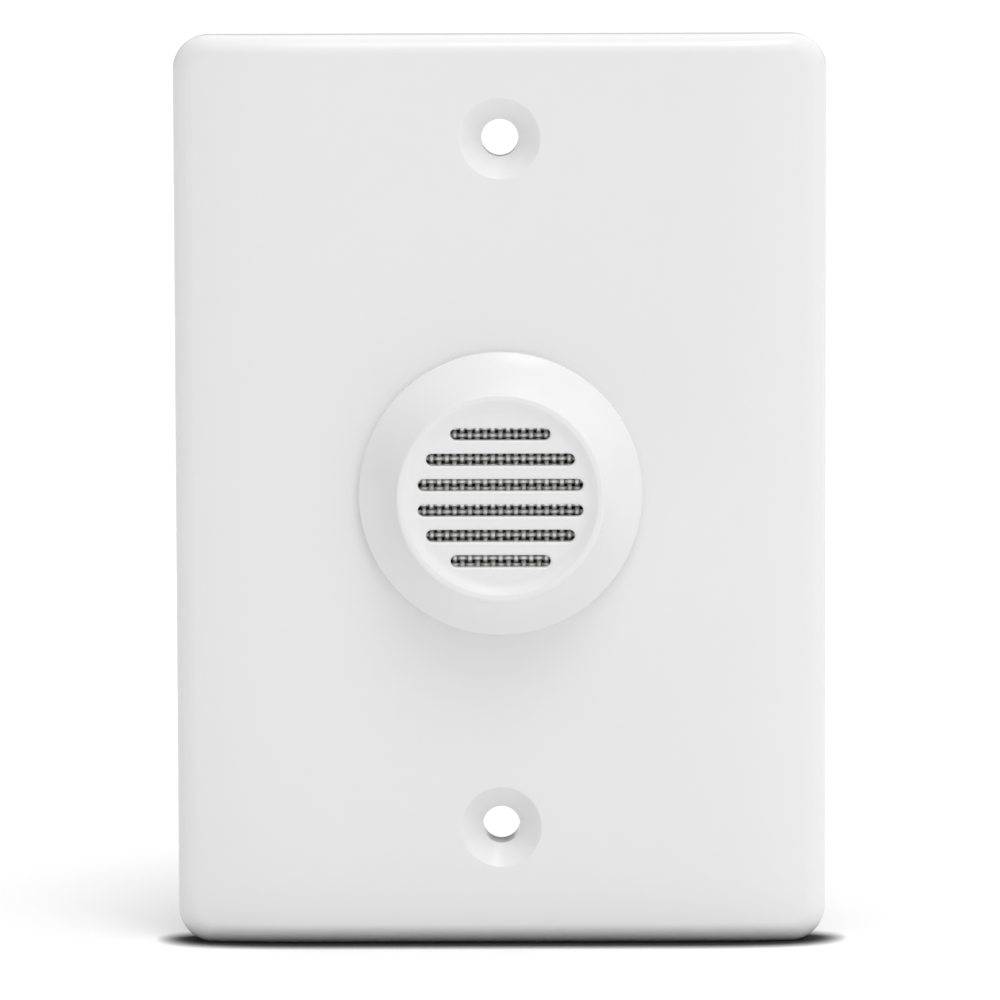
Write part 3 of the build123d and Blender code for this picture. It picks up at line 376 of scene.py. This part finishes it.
@dataclass(frozen=True)
class Finish:
    """One real surface: its colour, gloss and the grain of its mould, plate or paint."""

    name: str
    colour: Colour
    roughness: float
    metallic: float = 0.0
    tone_spread: float = 0.04
    patch_scale: float = 120.0
    roughness_spread: float = 0.06
    grain_scale: float = 4000.0
    grain_height: float = 0.004 * MM
    wave_height: float = 0.004 * MM
    stretch: Point = (1.0, 1.0, 1.0)
    coat: float = 0.0
    coat_roughness: float = 0.05
    specular: float = 0.5
    glow: float = 0.0

    def make(self, group: bpy.types.NodeTree) -> bpy.types.Material:
        """Build the material around the shared group."""
        material = bpy.data.materials.new(self.name)
        material.use_nodes = True
        nodes, links = material.node_tree.nodes, material.node_tree.links
        shader = nodes["Principled BSDF"]
        surface = nodes.new("ShaderNodeGroup")
        surface.node_tree = group
        values = {
            "Colour": (*self.colour, 1.0), "Tone Spread": self.tone_spread,
            "Patch Scale": self.patch_scale, "Roughness": self.roughness,
            "Roughness Spread": self.roughness_spread, "Grain Scale": self.grain_scale,
            "Grain Height": self.grain_height, "Wave Height": self.wave_height,
            "Stretch": self.stretch,
        }
        for label, value in values.items():
            surface.inputs[label].default_value = value
        links.new(surface.outputs["Colour"], shader.inputs["Base Color"])
        links.new(surface.outputs["Roughness"], shader.inputs["Roughness"])
        links.new(surface.outputs["Normal"], shader.inputs["Normal"])
        shader.inputs["Metallic"].default_value = self.metallic
        shader.inputs["Coat Weight"].default_value = self.coat
        shader.inputs["Coat Roughness"].default_value = self.coat_roughness
        shader.inputs["Specular IOR Level"].default_value = self.specular
        if self.glow:
            shader.inputs["Emission Color"].default_value = (*self.colour, 1.0)
            shader.inputs["Emission Strength"].default_value = self.glow
        return material


@dataclass(frozen=True)
class PaperWithPaintedShadowFinish(Finish):
    """The floor's paper, with a painted contact shadow: its colour darkens close to whatever stands on it."""

    reach: float = 4 * MM
    closed_in: float = 0.5
    falloff: float = 2.0
    darkest: float = 0.05

    def make(self, group: bpy.types.NodeTree) -> bpy.types.Material:
        """Build the finish, with a painted shadow: its colour and glow fade towards the line of contact."""
        material = super().make(group)
        nodes, links = material.node_tree.nodes, material.node_tree.links
        shader = nodes["Principled BSDF"]
        surface = next(node for node in nodes if node.type == "GROUP")
        # Painted contact shadow: the paper's colour and glow are scaled down where ambient occlusion finds
        # the object close by.
        near = nodes.new("ShaderNodeAmbientOcclusion")
        near.inputs["Distance"].default_value = self.reach
        openness = nodes.new("ShaderNodeMapRange")
        openness.inputs["From Min"].default_value = self.closed_in
        links.new(near.outputs["AO"], openness.inputs["Value"])
        fade = nodes.new("ShaderNodeMath")
        fade.operation = "POWER"
        fade.inputs[1].default_value = self.falloff
        links.new(openness.outputs["Result"], fade.inputs[0])
        shade = nodes.new("ShaderNodeMapRange")
        shade.inputs["To Min"].default_value = self.darkest
        links.new(fade.outputs[0], shade.inputs["Value"])
        painted_shadow_colour = nodes.new("ShaderNodeVectorMath")
        painted_shadow_colour.operation = "SCALE"
        links.new(surface.outputs["Colour"], painted_shadow_colour.inputs[0])
        links.new(shade.outputs["Result"], painted_shadow_colour.inputs["Scale"])
        for socket in ("Base Color", "Emission Color"):
            links.new(painted_shadow_colour.outputs[0], shader.inputs[socket])
        return material


@dataclass(frozen=True)
class WovenFinishWithPaintedShade(Finish):
    """Wire with painted shade: its colour darkens from the knuckles at the weave's front to the dips at its
    back.
    """

    dip_shade: Colour = (0.36, 0.36, 0.34)
    bright_share: float = 0.03
    dip_shade_share: float = 0.24

    def make(self, group: bpy.types.NodeTree) -> bpy.types.Material:
        """Build the finish, with painted shade: its colour darkens from the screen's front to its back."""
        material = super().make(group)
        nodes, links = material.node_tree.nodes, material.node_tree.links
        surface = next(node for node in nodes if node.type == "GROUP")
        low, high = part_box("mesh_screen")
        # Painted shade: the wire's colour is mixed towards the dark dip shade with its depth behind the
        # screen's front.
        place = nodes.new("ShaderNodeTexCoord")
        split = nodes.new("ShaderNodeSeparateXYZ")
        links.new(place.outputs["Object"], split.inputs[0])
        depth = nodes.new("ShaderNodeMapRange")
        depth.inputs["From Min"].default_value = low.y + self.bright_share * (high.y - low.y)
        depth.inputs["From Max"].default_value = low.y + self.dip_shade_share * (high.y - low.y)
        links.new(split.outputs["Y"], depth.inputs["Value"])
        fade = nodes.new("ShaderNodeMix")
        fade.data_type = "RGBA"
        fade.inputs["A"].default_value = (*self.colour, 1.0)
        fade.inputs["B"].default_value = (*self.dip_shade, 1.0)
        links.new(depth.outputs["Result"], fade.inputs["Factor"])
        links.new(fade.outputs["Result"], surface.inputs["Colour"])
        return material


FINISHES = {finish.name: finish for finish in (
    Finish("white_gloss", (0.8, 0.8, 0.8), 0.24, tone_spread=0.012, patch_scale=60.0, roughness_spread=0.05,
           grain_scale=1500.0, grain_height=0.0006 * MM, wave_height=0.006 * MM, specular=0.45),
    WovenFinishWithPaintedShade("mesh_steel", (0.82, 0.82, 0.8), 0.36, metallic=1.0, tone_spread=0.2, patch_scale=500.0,
                grain_scale=9000.0, grain_height=0.002 * MM),
    Finish("black_nylon", (0.03, 0.03, 0.033), 0.5, grain_height=0.006 * MM),
    Finish("foam", (0.03, 0.03, 0.03), 0.9, grain_scale=3000.0, grain_height=0.05 * MM),
    Finish("film", (0.19, 0.18, 0.155), 0.35, tone_spread=0.1, wave_height=0.02 * MM),
    Finish("copper", (0.6, 0.25, 0.12), 0.35, metallic=1.0, grain_scale=2500.0, stretch=(0.02, 1.0, 0.02),
           grain_height=0.03 * MM),
    Finish("magnet", (0.66, 0.65, 0.62), 0.28, metallic=1.0, tone_spread=0.08),
    Finish("steel", (0.6, 0.6, 0.61), 0.34, metallic=1.0, tone_spread=0.1, roughness_spread=0.15),
    Finish("zinc_steel", (0.66, 0.67, 0.68), 0.3, metallic=1.0, tone_spread=0.12, patch_scale=400.0,
           roughness_spread=0.2, grain_height=0.006 * MM),
    Finish("lug_board", (0.3, 0.16, 0.07), 0.6, tone_spread=0.25, stretch=(1.0, 1.0, 0.1),
           grain_scale=2500.0),
    Finish("red_wire", (0.55, 0.02, 0.02), 0.4, grain_height=0.008 * MM),
    Finish("black_wire", (0.02, 0.02, 0.022), 0.4, grain_height=0.008 * MM),
    Finish("connector_white", (0.76, 0.74, 0.66), 0.45),
    Finish("housing_black", (0.028, 0.028, 0.031), 0.46, tone_spread=0.25, patch_scale=90.0,
           roughness_spread=0.1, grain_scale=2600.0, grain_height=0.05 * MM, wave_height=0.02 * MM),
    Finish("board_green", (0.015, 0.13, 0.05), 0.35, tone_spread=0.2, patch_scale=700.0, coat=0.3),
    Finish("can_sleeve", (0.02, 0.03, 0.07), 0.3, coat=0.3),
    Finish("chip_black", (0.022, 0.022, 0.023), 0.55, grain_height=0.01 * MM),
    Finish("fuse_yellow", (0.72, 0.42, 0.05), 0.35, wave_height=0.05 * MM, coat=0.2),
    Finish("can_metal", (0.7, 0.7, 0.69), 0.22, metallic=1.0, stretch=(1.0, 0.05, 1.0)),
    Finish("ceramic_tan", (0.5, 0.36, 0.22), 0.5, tone_spread=0.15),
    Finish("trimmer_blue", (0.03, 0.1, 0.38), 0.42),
    Finish("shaft_white", (0.72, 0.72, 0.7), 0.36, grain_height=0.006 * MM),
    Finish("terminal_green", (0.035, 0.25, 0.09), 0.38, tone_spread=0.08, grain_height=0.01 * MM),
    Finish("tinned_brass", (0.68, 0.65, 0.55), 0.3, metallic=1.0, tone_spread=0.15),
    PaperWithPaintedShadowFinish("floor_paper", (0.87, 0.87, 0.87), 0.9, tone_spread=0.01, specular=0.1,
                grain_height=0.002 * MM, glow=0.1),
)}


class Wardrobe:
    """Makes each finish once and hands it out."""

    def __init__(self) -> None:
        """Build the shared group; the materials come when they are first asked for."""
        self.group = tone_and_grain()
        self.made: dict[str, bpy.types.Material] = {}

    def material(self, name: str) -> bpy.types.Material:
        """The material of a finish, by its name."""
        if name not in self.made:
            self.made[name] = FINISHES[name].make(self.group)
        return self.made[name]

    def dress(self, piece: bpy.types.Object, name: str) -> None:
        """Give a new piece its finish."""
        piece.data.materials.clear()
        piece.data.materials.append(self.material(name))


# The chime's sub-assemblies


@dataclass
class WallPlate:
    """The moulded plate: a shallow tray with a crowned front and two dished screw holes."""

    skin: float = 2.2 * MM
    corner_radius: float = 4.2 * MM
    edge_roll: float = 2.6 * MM
    flat_half: float = 22.1 * MM
    gentle_angle: float = 4.8
    side_angle: float = 20.5
    side_width: float = 9.6 * MM
    crown_columns: int = 22
    corner_steps: int = 12
    roll_steps: int = 12
    rim_steps: int = 6
    hole_diameter: float = 4.5 * MM
    dish_diameter: float = 9.7 * MM
    dish_depth: float = 2.4 * MM
    dish_edge_round: float = 0.35 * MM
    pillar_wall: float = 2.6 * MM
    rib: float = 1.2 * MM
    rib_setback: float = 0.6 * MM
    neck_gap: float = 0.2 * MM
    screw_sides: int = 96
    pillar_sides: int = 64
    neck_sides: int = 128
    smooth_angle: float = 32.0
    overrun: float = 1.0 * MM
    weld: float = 0.02 * MM
    low: Vector = field(default_factory=lambda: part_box("wall_plate")[0])
    high: Vector = field(default_factory=lambda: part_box("wall_plate")[1])

    @property
    def depth(self) -> float:
        """How far the plate stands off the wall."""
        return self.high.y - self.low.y

    def hole_places(self) -> list[float]:
        """The heights of the two wall screw holes, from the mount."""
        spacing = frame["record"]["mounts"][0]["dims"]["spacing_y_mm"] * MM
        return [-spacing / 2, spacing / 2]

    def drop(self, x: float) -> float:
        """How far the front falls back at a distance from the middle: two tangent arcs a side."""
        out = abs(x) - self.flat_half
        if out <= 0:
            return 0.0
        gentle, side = math.radians(self.gentle_angle), math.radians(self.side_angle)
        gentle_width = self.high.x - self.side_width - self.flat_half
        gentle_radius = gentle_width / math.sin(gentle)
        if out <= gentle_width:
            return gentle_radius * (1 - math.sqrt(1 - (out / gentle_radius) ** 2))
        side_radius = self.side_width / (math.sin(side) - math.sin(gentle))
        turned = min(math.sin(gentle) + (out - gentle_width) / side_radius, math.sin(side))
        return gentle_radius * (1 - math.cos(gentle)) + side_radius * (
            math.cos(gentle) - math.sqrt(1 - turned**2))

    def tray_form(self, name: str, inset: float, roll: float, back: float) -> bpy.types.Object:
        """The plate's outer form, or the form of its hollow.

        Args:
            name: the new object's name.
            inset: how far inside the plate's outer form it lies.
            roll: the radius round the front rim, or zero for a sharp one.
            back: where it ends along Y.

        Returns:
            The crowned form.
        """
        front = self.low.y + inset
        form = Bench.block(name, (self.low.x + inset, front, self.low.z + inset),
                           (self.high.x - inset, back, self.high.z - inset))

        def along_y(one: Vector, other: Vector) -> bool:
            """True for the four edges that run from the front to the back."""
            return abs(one.y - other.y) > self.overrun

        def on_rim(one: Vector, other: Vector) -> bool:
            """True for the edges round the front face."""
            return max(abs(one.y - front), abs(other.y - front)) < HAIR

        Bench.pick_edges(form, along_y)
        bpy.ops.mesh.bevel(offset=self.corner_radius - inset, segments=self.corner_steps, affect="EDGES")
        if roll:
            Bench.done()
            Bench.pick_edges(form, on_rim)
            bpy.ops.mesh.bevel(offset=roll, segments=self.roll_steps, affect="EDGES")
        crown_width = self.high.x - inset - self.flat_half
        for side in (-1, 1):
            for column in range(self.crown_columns):
                x = side * (self.flat_half + crown_width * column / self.crown_columns)
                bpy.ops.mesh.select_all(action="SELECT")
                bpy.ops.mesh.bisect(plane_co=(x, 0, 0), plane_no=(1, 0, 0), threshold=self.weld / 100)
        bpy.ops.mesh.select_all(action="SELECT")
        bpy.ops.mesh.remove_doubles(threshold=self.weld)
        Bench.done()
        for vertex in form.data.vertices:
            if vertex.co.y < -HAIR:
                vertex.co.y *= 1 - self.drop(vertex.co.x) / self.depth
        return form

    def screw_cutter(self, height: float) -> bpy.types.Object:
        """The space of one screw hole, its cone and the round at its rim."""
        front = self.low.y
        dish, hole = self.dish_diameter / 2, self.hole_diameter / 2
        slope = math.degrees(math.atan2(self.dish_depth, dish - hole))
        round_radius = self.dish_edge_round
        reach = round_radius * math.tan(math.radians(slope / 2))
        centre = (dish + reach, front + round_radius)
        rim = arc(centre, round_radius, -90, -90 - slope, self.rim_steps)
        outline = [(0.0, front - self.overrun), (dish + reach, front - self.overrun), *rim,
                   (hole, front + self.dish_depth), (hole, self.overrun), (0.0, self.overrun)]
        return Bench.spin(f"screw_space_{height:.3f}", outline, (0, height), self.screw_sides)

    def build(self, neck_radius: float, neck_height: float) -> bpy.types.Object:
        """Model the plate.

        Args:
            neck_radius: the sounder neck's outer radius.
            neck_height: the height of the sounder's axis.

        Returns:
            The finished plate mesh.
        """
        plate = self.tray_form("plate_moulding", 0, self.edge_roll, 0)
        hollow = self.tray_form("hollow", self.skin, 0, self.overrun)
        Bench.combine(plate, hollow, Keep.DIFFERENCE)
        pillar = self.hole_diameter / 2 + self.pillar_wall
        inner = self.low.y + self.skin
        buried = inner - self.overrun
        for height in self.hole_places():
            end = self.high.z if height > 0 else self.low.z
            inside = end - math.copysign(self.skin / 2, height)
            rib = Bench.block("rib", (-self.rib / 2, buried, min(height, inside)),
                              (self.rib / 2, -self.rib_setback, max(height, inside)))
            Bench.combine(plate, rib, Keep.UNION)
            column = Bench.rod("pillar", pillar, (buried, 0), (0, height), self.pillar_sides)
            Bench.combine(plate, column, Keep.UNION)
        for height in self.hole_places():
            Bench.combine(plate, self.screw_cutter(height), Keep.DIFFERENCE)
        neck = Bench.rod("neck_hole", neck_radius + self.neck_gap,
                         (self.low.y - self.overrun, self.overrun), (0, neck_height), self.neck_sides)
        Bench.combine(plate, neck, Keep.DIFFERENCE)
        Bench.smooth(plate, self.smooth_angle)
        return plate


@dataclass
class Sounder:
    """The bevelled ring with its dished, slotted face, and the neck behind it."""

    rim_height: float = 1.3 * MM
    rim_round: float = 0.45 * MM
    bulge: float = 0.45 * MM
    face_diameter: float = 24.8 * MM
    lip_width: float = 0.5 * MM
    lip_round: float = 0.4 * MM
    foot_round: float = 2.2 * MM
    slope_width: float = 1.9 * MM
    recess: float = 0.7 * MM
    face_skin: float = 1.6 * MM
    neck_diameter: float = 28.0 * MM
    bore_diameter: float = 23.6 * MM
    slot_length: float = 19.8 * MM
    slot_length_shares: tuple[float, ...] = (0.605, 0.9, 1.0, 1.0, 0.9, 0.605)
    slot_height: float = 1.45 * MM
    slot_pitch: float = 3.05 * MM
    slot_edge_round: float = 0.3 * MM
    bevel_steps: int = 24
    fine_steps: int = 240
    edge_steps: int = 6
    slope_steps: int = 4
    foot_steps: int = 8
    flare_steps: int = 5
    slot_sides: int = 32
    turn_steps: int = 192
    smooth_angle: float = 30.0
    overrun: float = 1.0 * MM
    low: Vector = field(default_factory=lambda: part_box("sounder_bezel")[0])
    high: Vector = field(default_factory=lambda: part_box("sounder_bezel")[1])
    plate_front: float = field(default_factory=lambda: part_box("wall_plate")[0].y)

    @property
    def height(self) -> float:
        """The height of the sounder's axis."""
        return (self.low.z + self.high.z) / 2

    def outline(self) -> list[Pair]:
        """The closed section, from the rim over the bevel and the face, and back down the neck."""
        flange, face = (self.high.x - self.low.x) / 2, self.face_diameter / 2
        rim, top = self.plate_front - self.rim_height, self.low.y
        floor = top + self.recess
        bevel = bowed((flange, rim), (face, top), -self.bulge, self.bevel_steps)
        fine = bowed((flange, rim), (face, top), -self.bulge, self.fine_steps)
        ease = next(point for point in fine if point[0] < flange - self.rim_round / 2)
        rim_edge = round_corner((flange, self.plate_front), (flange, rim), ease, self.rim_round,
                                self.edge_steps)
        lip_in = (face - self.lip_width - self.lip_round, top)
        lip_edge = round_corner(bevel[-3], (face, top), lip_in, self.lip_round, self.edge_steps)
        inner = (face - self.slope_width, floor)
        slope = round_corner(lip_edge[-1], (face - self.lip_width - self.lip_round / 2, top), inner,
                             self.lip_round, self.slope_steps)
        foot = round_corner(slope[-1], inner, (inner[0] - self.slope_width, floor), self.foot_round,
                            self.foot_steps)
        back = floor + self.face_skin
        bore, neck = self.bore_diameter / 2, self.neck_diameter / 2
        return [
            *rim_edge,
            *[point for point in bevel if lip_edge[0][0] < point[0] < rim_edge[-1][0]],
            *lip_edge, *slope, *foot, (0.0, floor), (0.0, back), (bore, back), (bore, self.high.y),
            (neck, self.high.y), (neck, self.plate_front), (flange, self.plate_front), rim_edge[0],
        ]

    def slot_cutter(self, height: float, length: float) -> bpy.types.Object:
        """One slot's space: a pin flared at the face, drawn out sideways to the slot's length."""
        floor = self.low.y + self.recess
        half = self.slot_height / 2
        edge = self.slot_edge_round
        flare = arc((half + edge, floor + edge), edge, -180, -90, self.flare_steps)
        front, back = floor - self.overrun, floor + self.face_skin + self.overrun
        outline = [(0.0, back), (half, back), *flare, (half + edge, front), (0.0, front)]
        pin = Bench.spin("slot_space", outline, (0, height), self.slot_sides, math.pi / self.slot_sides)
        for vertex in pin.data.vertices:
            if abs(vertex.co.x) > SPECK:
                vertex.co.x += math.copysign(length / 2 - half, vertex.co.x)
        return pin

    def build(self) -> bpy.types.Object:
        """Model the moulding and cut its six slots."""
        bezel = Bench.spin("sounder_moulding", self.outline(), (0, self.height), self.turn_steps)
        rows = len(self.slot_length_shares)
        for row, share in enumerate(self.slot_length_shares):
            height = self.height + ((rows - 1) / 2 - row) * self.slot_pitch
            Bench.combine(bezel, self.slot_cutter(height, self.slot_length * share), Keep.DIFFERENCE)
        Bench.smooth(bezel, self.smooth_angle)
        return bezel


@dataclass
class MeshScreen:
    """The flattened woven wire behind the slots, in its plain rim."""

    pitch: float = 0.92 * MM
    wire_width: float = 0.57 * MM
    wire_thickness: float = 0.2 * MM
    rim_width: float = 1.2 * MM
    wire_sides: int = 8
    steps_per_pitch: int = 8
    rim_steps: int = 96
    smooth_angle: float = 50.0
    low: Vector = field(default_factory=lambda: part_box("mesh_screen")[0])
    high: Vector = field(default_factory=lambda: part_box("mesh_screen")[1])

    @property
    def radius(self) -> float:
        """The screen's outer radius."""
        return (self.high.x - self.low.x) / 2

    @property
    def middle(self) -> Vector:
        """The screen's centre."""
        return (self.low + self.high) / 2

    def wire(self, count: int) -> bpy.types.Object:
        """One wavy wire along X, through the screen's centre, as long as its widest row."""
        Bench.clear()
        bpy.ops.mesh.primitive_circle_add(vertices=self.wire_sides, radius=0.5, rotation=(0, math.pi / 2, 0))
        bpy.context.object.scale = (self.wire_width, 1, 1)
        wire = Bench.name_new("wire")
        rise = (self.high.y - self.low.y - self.wire_thickness) / 2
        step = self.pitch / self.steps_per_pitch
        start = -count * self.pitch

        def wave(x: float) -> float:
            """How far the wire stands forward at x: over one crossing and under the next."""
            return rise * math.cos(math.pi * x / self.pitch)

        for vertex in wire.data.vertices:
            vertex.co = (start, vertex.co.y * self.wire_thickness + wave(start), vertex.co.z)
        Bench.hold(wire)
        bpy.ops.object.mode_set(mode="EDIT")
        bpy.ops.mesh.select_all(action="SELECT")
        for index in range(2 * count * self.steps_per_pitch):
            x = start + index * step
            bpy.ops.mesh.extrude_region_move(
                TRANSFORM_OT_translate={"value": (step, wave(x + step) - wave(x), 0)})
        bpy.ops.mesh.select_all(action="SELECT")
        bpy.ops.mesh.normals_make_consistent(inside=False)
        Bench.done()
        return wire

    def laid(self, wire: bpy.types.Object, offset: float, upright: bool, flip: bool) -> bpy.types.Object:
        """A copy of the wire in one row or column, cut to the round screen.

        Args:
            wire: the wire to copy.
            offset: how far from the screen's middle it lies.
            upright: whether it runs along Z instead of X.
            flip: whether it starts under the crossings instead of over them.

        Returns:
            The laid wire.
        """
        copy = wire.copy()
        copy.data = wire.data.copy()
        bpy.context.scene.collection.objects.link(copy)
        half = math.sqrt(max((self.radius - self.rim_width / 2) ** 2 - offset**2, 0))
        Bench.hold(copy)
        bpy.ops.object.mode_set(mode="EDIT")
        for side in (-1, 1):
            bpy.ops.mesh.select_all(action="SELECT")
            bpy.ops.mesh.bisect(plane_co=(side * half, 0, 0), plane_no=(side, 0, 0),
                                clear_outer=True, use_fill=True, threshold=self.wire_thickness / 1000)
        Bench.done()
        sign = -1 if flip else 1
        for vertex in copy.data.vertices:
            x, y, z = vertex.co
            along, across = (z + offset, x) if upright else (x, z + offset)
            vertex.co = (self.middle.x + along, self.middle.y + sign * y, self.middle.z + across)
        Bench.hold(copy)
        bpy.ops.object.mode_set(mode="EDIT")
        bpy.ops.mesh.select_all(action="SELECT")
        bpy.ops.mesh.normals_make_consistent(inside=False)
        Bench.done()
        return copy

    def build(self) -> bpy.types.Object:
        """Weave the screen and close it with its rim."""
        inner = self.radius - self.rim_width
        section = [(self.radius, self.low.y), (inner, self.low.y), (inner, self.high.y),
                   (self.radius, self.high.y), (self.radius, self.low.y)]
        pieces = [Bench.spin("mesh_weave", section, (self.middle.x, self.middle.z), self.rim_steps)]
        count = int(inner / self.pitch)
        wire = self.wire(count + 2)
        for upright in (False, True):
            for row in range(-count, count + 1):
                flip = bool(row % 2) != upright
                pieces.append(self.laid(wire, row * self.pitch, upright, flip))
        bpy.data.objects.remove(wire)
        screen = Bench.join(pieces, "mesh_weave")
        Bench.hold(screen)
        bpy.ops.object.shade_smooth_by_angle(angle=math.radians(self.smooth_angle))
        return screen


# Camera, light and floor


@dataclass
class Studio:
    """The photograph's view: almost square on, slightly from above, in soft light."""

    distance: float = 800 * MM
    azimuth: float = 0.2
    elevation: float = 5.64
    roll: float = -0.16
    look_at: Point = (-0.08 * MM, -7.0 * MM, -1.86 * MM)
    lens: float = 239.0
    sensor: float = 36.0
    nearest: float = 10 * MM
    background: float = 1.1
    ambient: float = 0.235
    side_share: float = 0.15
    top_light: float = 1.0
    top_axis: Point = (0.16, -0.05, 0.98)
    top_edge: Pair = (0.1, 0.8)
    sun_from: Point = (0.15, -0.42, 0.9)
    sun_strength: float = 0.65
    sun_spread: float = 26.0
    floor_reach: float = 60.0
    floor_shift: float = 20.0

    def camera(self) -> None:
        """Add the camera and make it the scene's own."""
        turn, lift = math.radians(self.azimuth), math.radians(self.elevation)
        away = Vector((math.sin(turn) * math.cos(lift), -math.cos(turn) * math.cos(lift), math.sin(lift)))
        data = bpy.data.cameras.new("view")
        data.lens, data.sensor_width = self.lens, self.sensor
        data.clip_start, data.clip_end = self.nearest, 2 * self.floor_reach
        camera = bpy.data.objects.new("view", data)
        camera.location = Vector(self.look_at) + away * self.distance
        level = (-away).to_track_quat("-Z", "Y")
        camera.rotation_euler = (level @ Quaternion((0, 0, 1), math.radians(self.roll))).to_euler()
        bpy.context.scene.collection.objects.link(camera)
        bpy.context.scene.camera = camera

    def sun(self) -> None:
        """Add the wide, soft light from above that gives the ring its shadow."""
        data = bpy.data.lights.new("key", "SUN")
        data.energy = self.sun_strength
        data.angle = math.radians(self.sun_spread)
        lamp = bpy.data.objects.new("key", data)
        lamp.rotation_euler = (-Vector(self.sun_from)).to_track_quat("-Z", "Y").to_euler()
        bpy.context.scene.collection.objects.link(lamp)

    def world(self) -> None:
        """White surroundings: full white to the camera, and as a light brightest overhead."""
        world = bpy.data.worlds.new("surroundings")
        world.use_nodes = True
        nodes, links = world.node_tree.nodes, world.node_tree.links
        sky = nodes["Background"]
        sky.inputs["Color"].default_value = (1, 1, 1, 1)
        place = nodes.new("ShaderNodeTexCoord")
        toward = nodes.new("ShaderNodeVectorMath")
        toward.operation = "DOT_PRODUCT"
        toward.inputs[1].default_value = self.top_axis
        links.new(place.outputs["Generated"], toward.inputs[0])
        overhead = nodes.new("ShaderNodeMapRange")
        overhead.interpolation_type = "SMOOTHSTEP"
        overhead.inputs["From Min"].default_value = self.top_edge[0]
        overhead.inputs["From Max"].default_value = self.top_edge[1]
        overhead.inputs["To Min"].default_value = self.ambient
        overhead.inputs["To Max"].default_value = self.ambient + self.top_light
        links.new(toward.outputs["Value"], overhead.inputs["Value"])
        split = nodes.new("ShaderNodeSeparateXYZ")
        links.new(place.outputs["Generated"], split.inputs[0])
        side = nodes.new("ShaderNodeMath")
        side.operation = "MULTIPLY_ADD"
        side.inputs[1].default_value = self.side_share
        links.new(split.outputs["X"], side.inputs[0])
        links.new(overhead.outputs["Result"], side.inputs[2])
        seen = nodes.new("ShaderNodeLightPath")
        blend = nodes.new("ShaderNodeMapRange")
        blend.inputs["To Max"].default_value = self.background
        links.new(seen.outputs["Is Camera Ray"], blend.inputs["Value"])
        links.new(side.outputs[0], blend.inputs["To Min"])
        links.new(blend.outputs["Result"], sky.inputs["Strength"])
        bpy.context.scene.world = world

    def build(self, wardrobe: Wardrobe) -> None:
        """Set up the floor, with its middle seam away from the object, the lights and the camera."""
        lowest = cad_box[0].z
        Bench.clear()
        bpy.ops.mesh.primitive_plane_add(size=2 * self.floor_reach, location=(self.floor_shift, 0, lowest))
        floor = Bench.name_new("studio_floor")
        floor.data.materials.append(wardrobe.material("floor_paper"))
        self.world()
        self.sun()
        self.camera()
        bpy.context.scene.view_settings.view_transform = "Standard"


class Chime:
    """The whole object: three modelled pieces and the frame's own nodes in their finishes."""

    def __init__(self, wardrobe: Wardrobe) -> None:
        """Hold the finishes and the sub-assemblies."""
        self.wardrobe = wardrobe
        self.sounder = Sounder()
        self.plate = WallPlate()
        self.screen = MeshScreen()

    def place(self, piece: bpy.types.Object, node: str, finish: str) -> None:
        """Let a new piece stand for a node of the frame, and report it."""
        self.wardrobe.dress(piece, finish)
        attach(piece, MAIN_BODY)
        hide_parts(node)
        log.info("%s: %d faces for node %s", piece.name, len(piece.data.polygons), node)

    def build(self) -> None:
        """Build the modelled pieces, then finish the nodes that stay."""
        sounder = self.sounder
        plate = self.plate.build(sounder.neck_diameter / 2, sounder.height)
        self.place(plate, "wall_plate", "white_gloss")
        self.place(sounder.build(), "sounder_bezel", "white_gloss")
        self.place(self.screen.build(), "mesh_screen", "mesh_steel")
        slots = {part["node"]: part["material_slot"] for part in frame["record"]["subparts"]}
        for node, piece in frame["nodes"].items():
            for holder in piece.material_slots:
                holder.material = self.wardrobe.material(slots[node])
        log.info("%d nodes of the frame have their finishes", len(slots))


def main() -> None:
    """Build the studio and the chime in order."""
    logging.basicConfig(level=logging.INFO, format="%(name)s: %(message)s")
    wardrobe = Wardrobe()
    Studio().build(wardrobe)
    Chime(wardrobe).build()


if __name__ == "__main__":
    main()
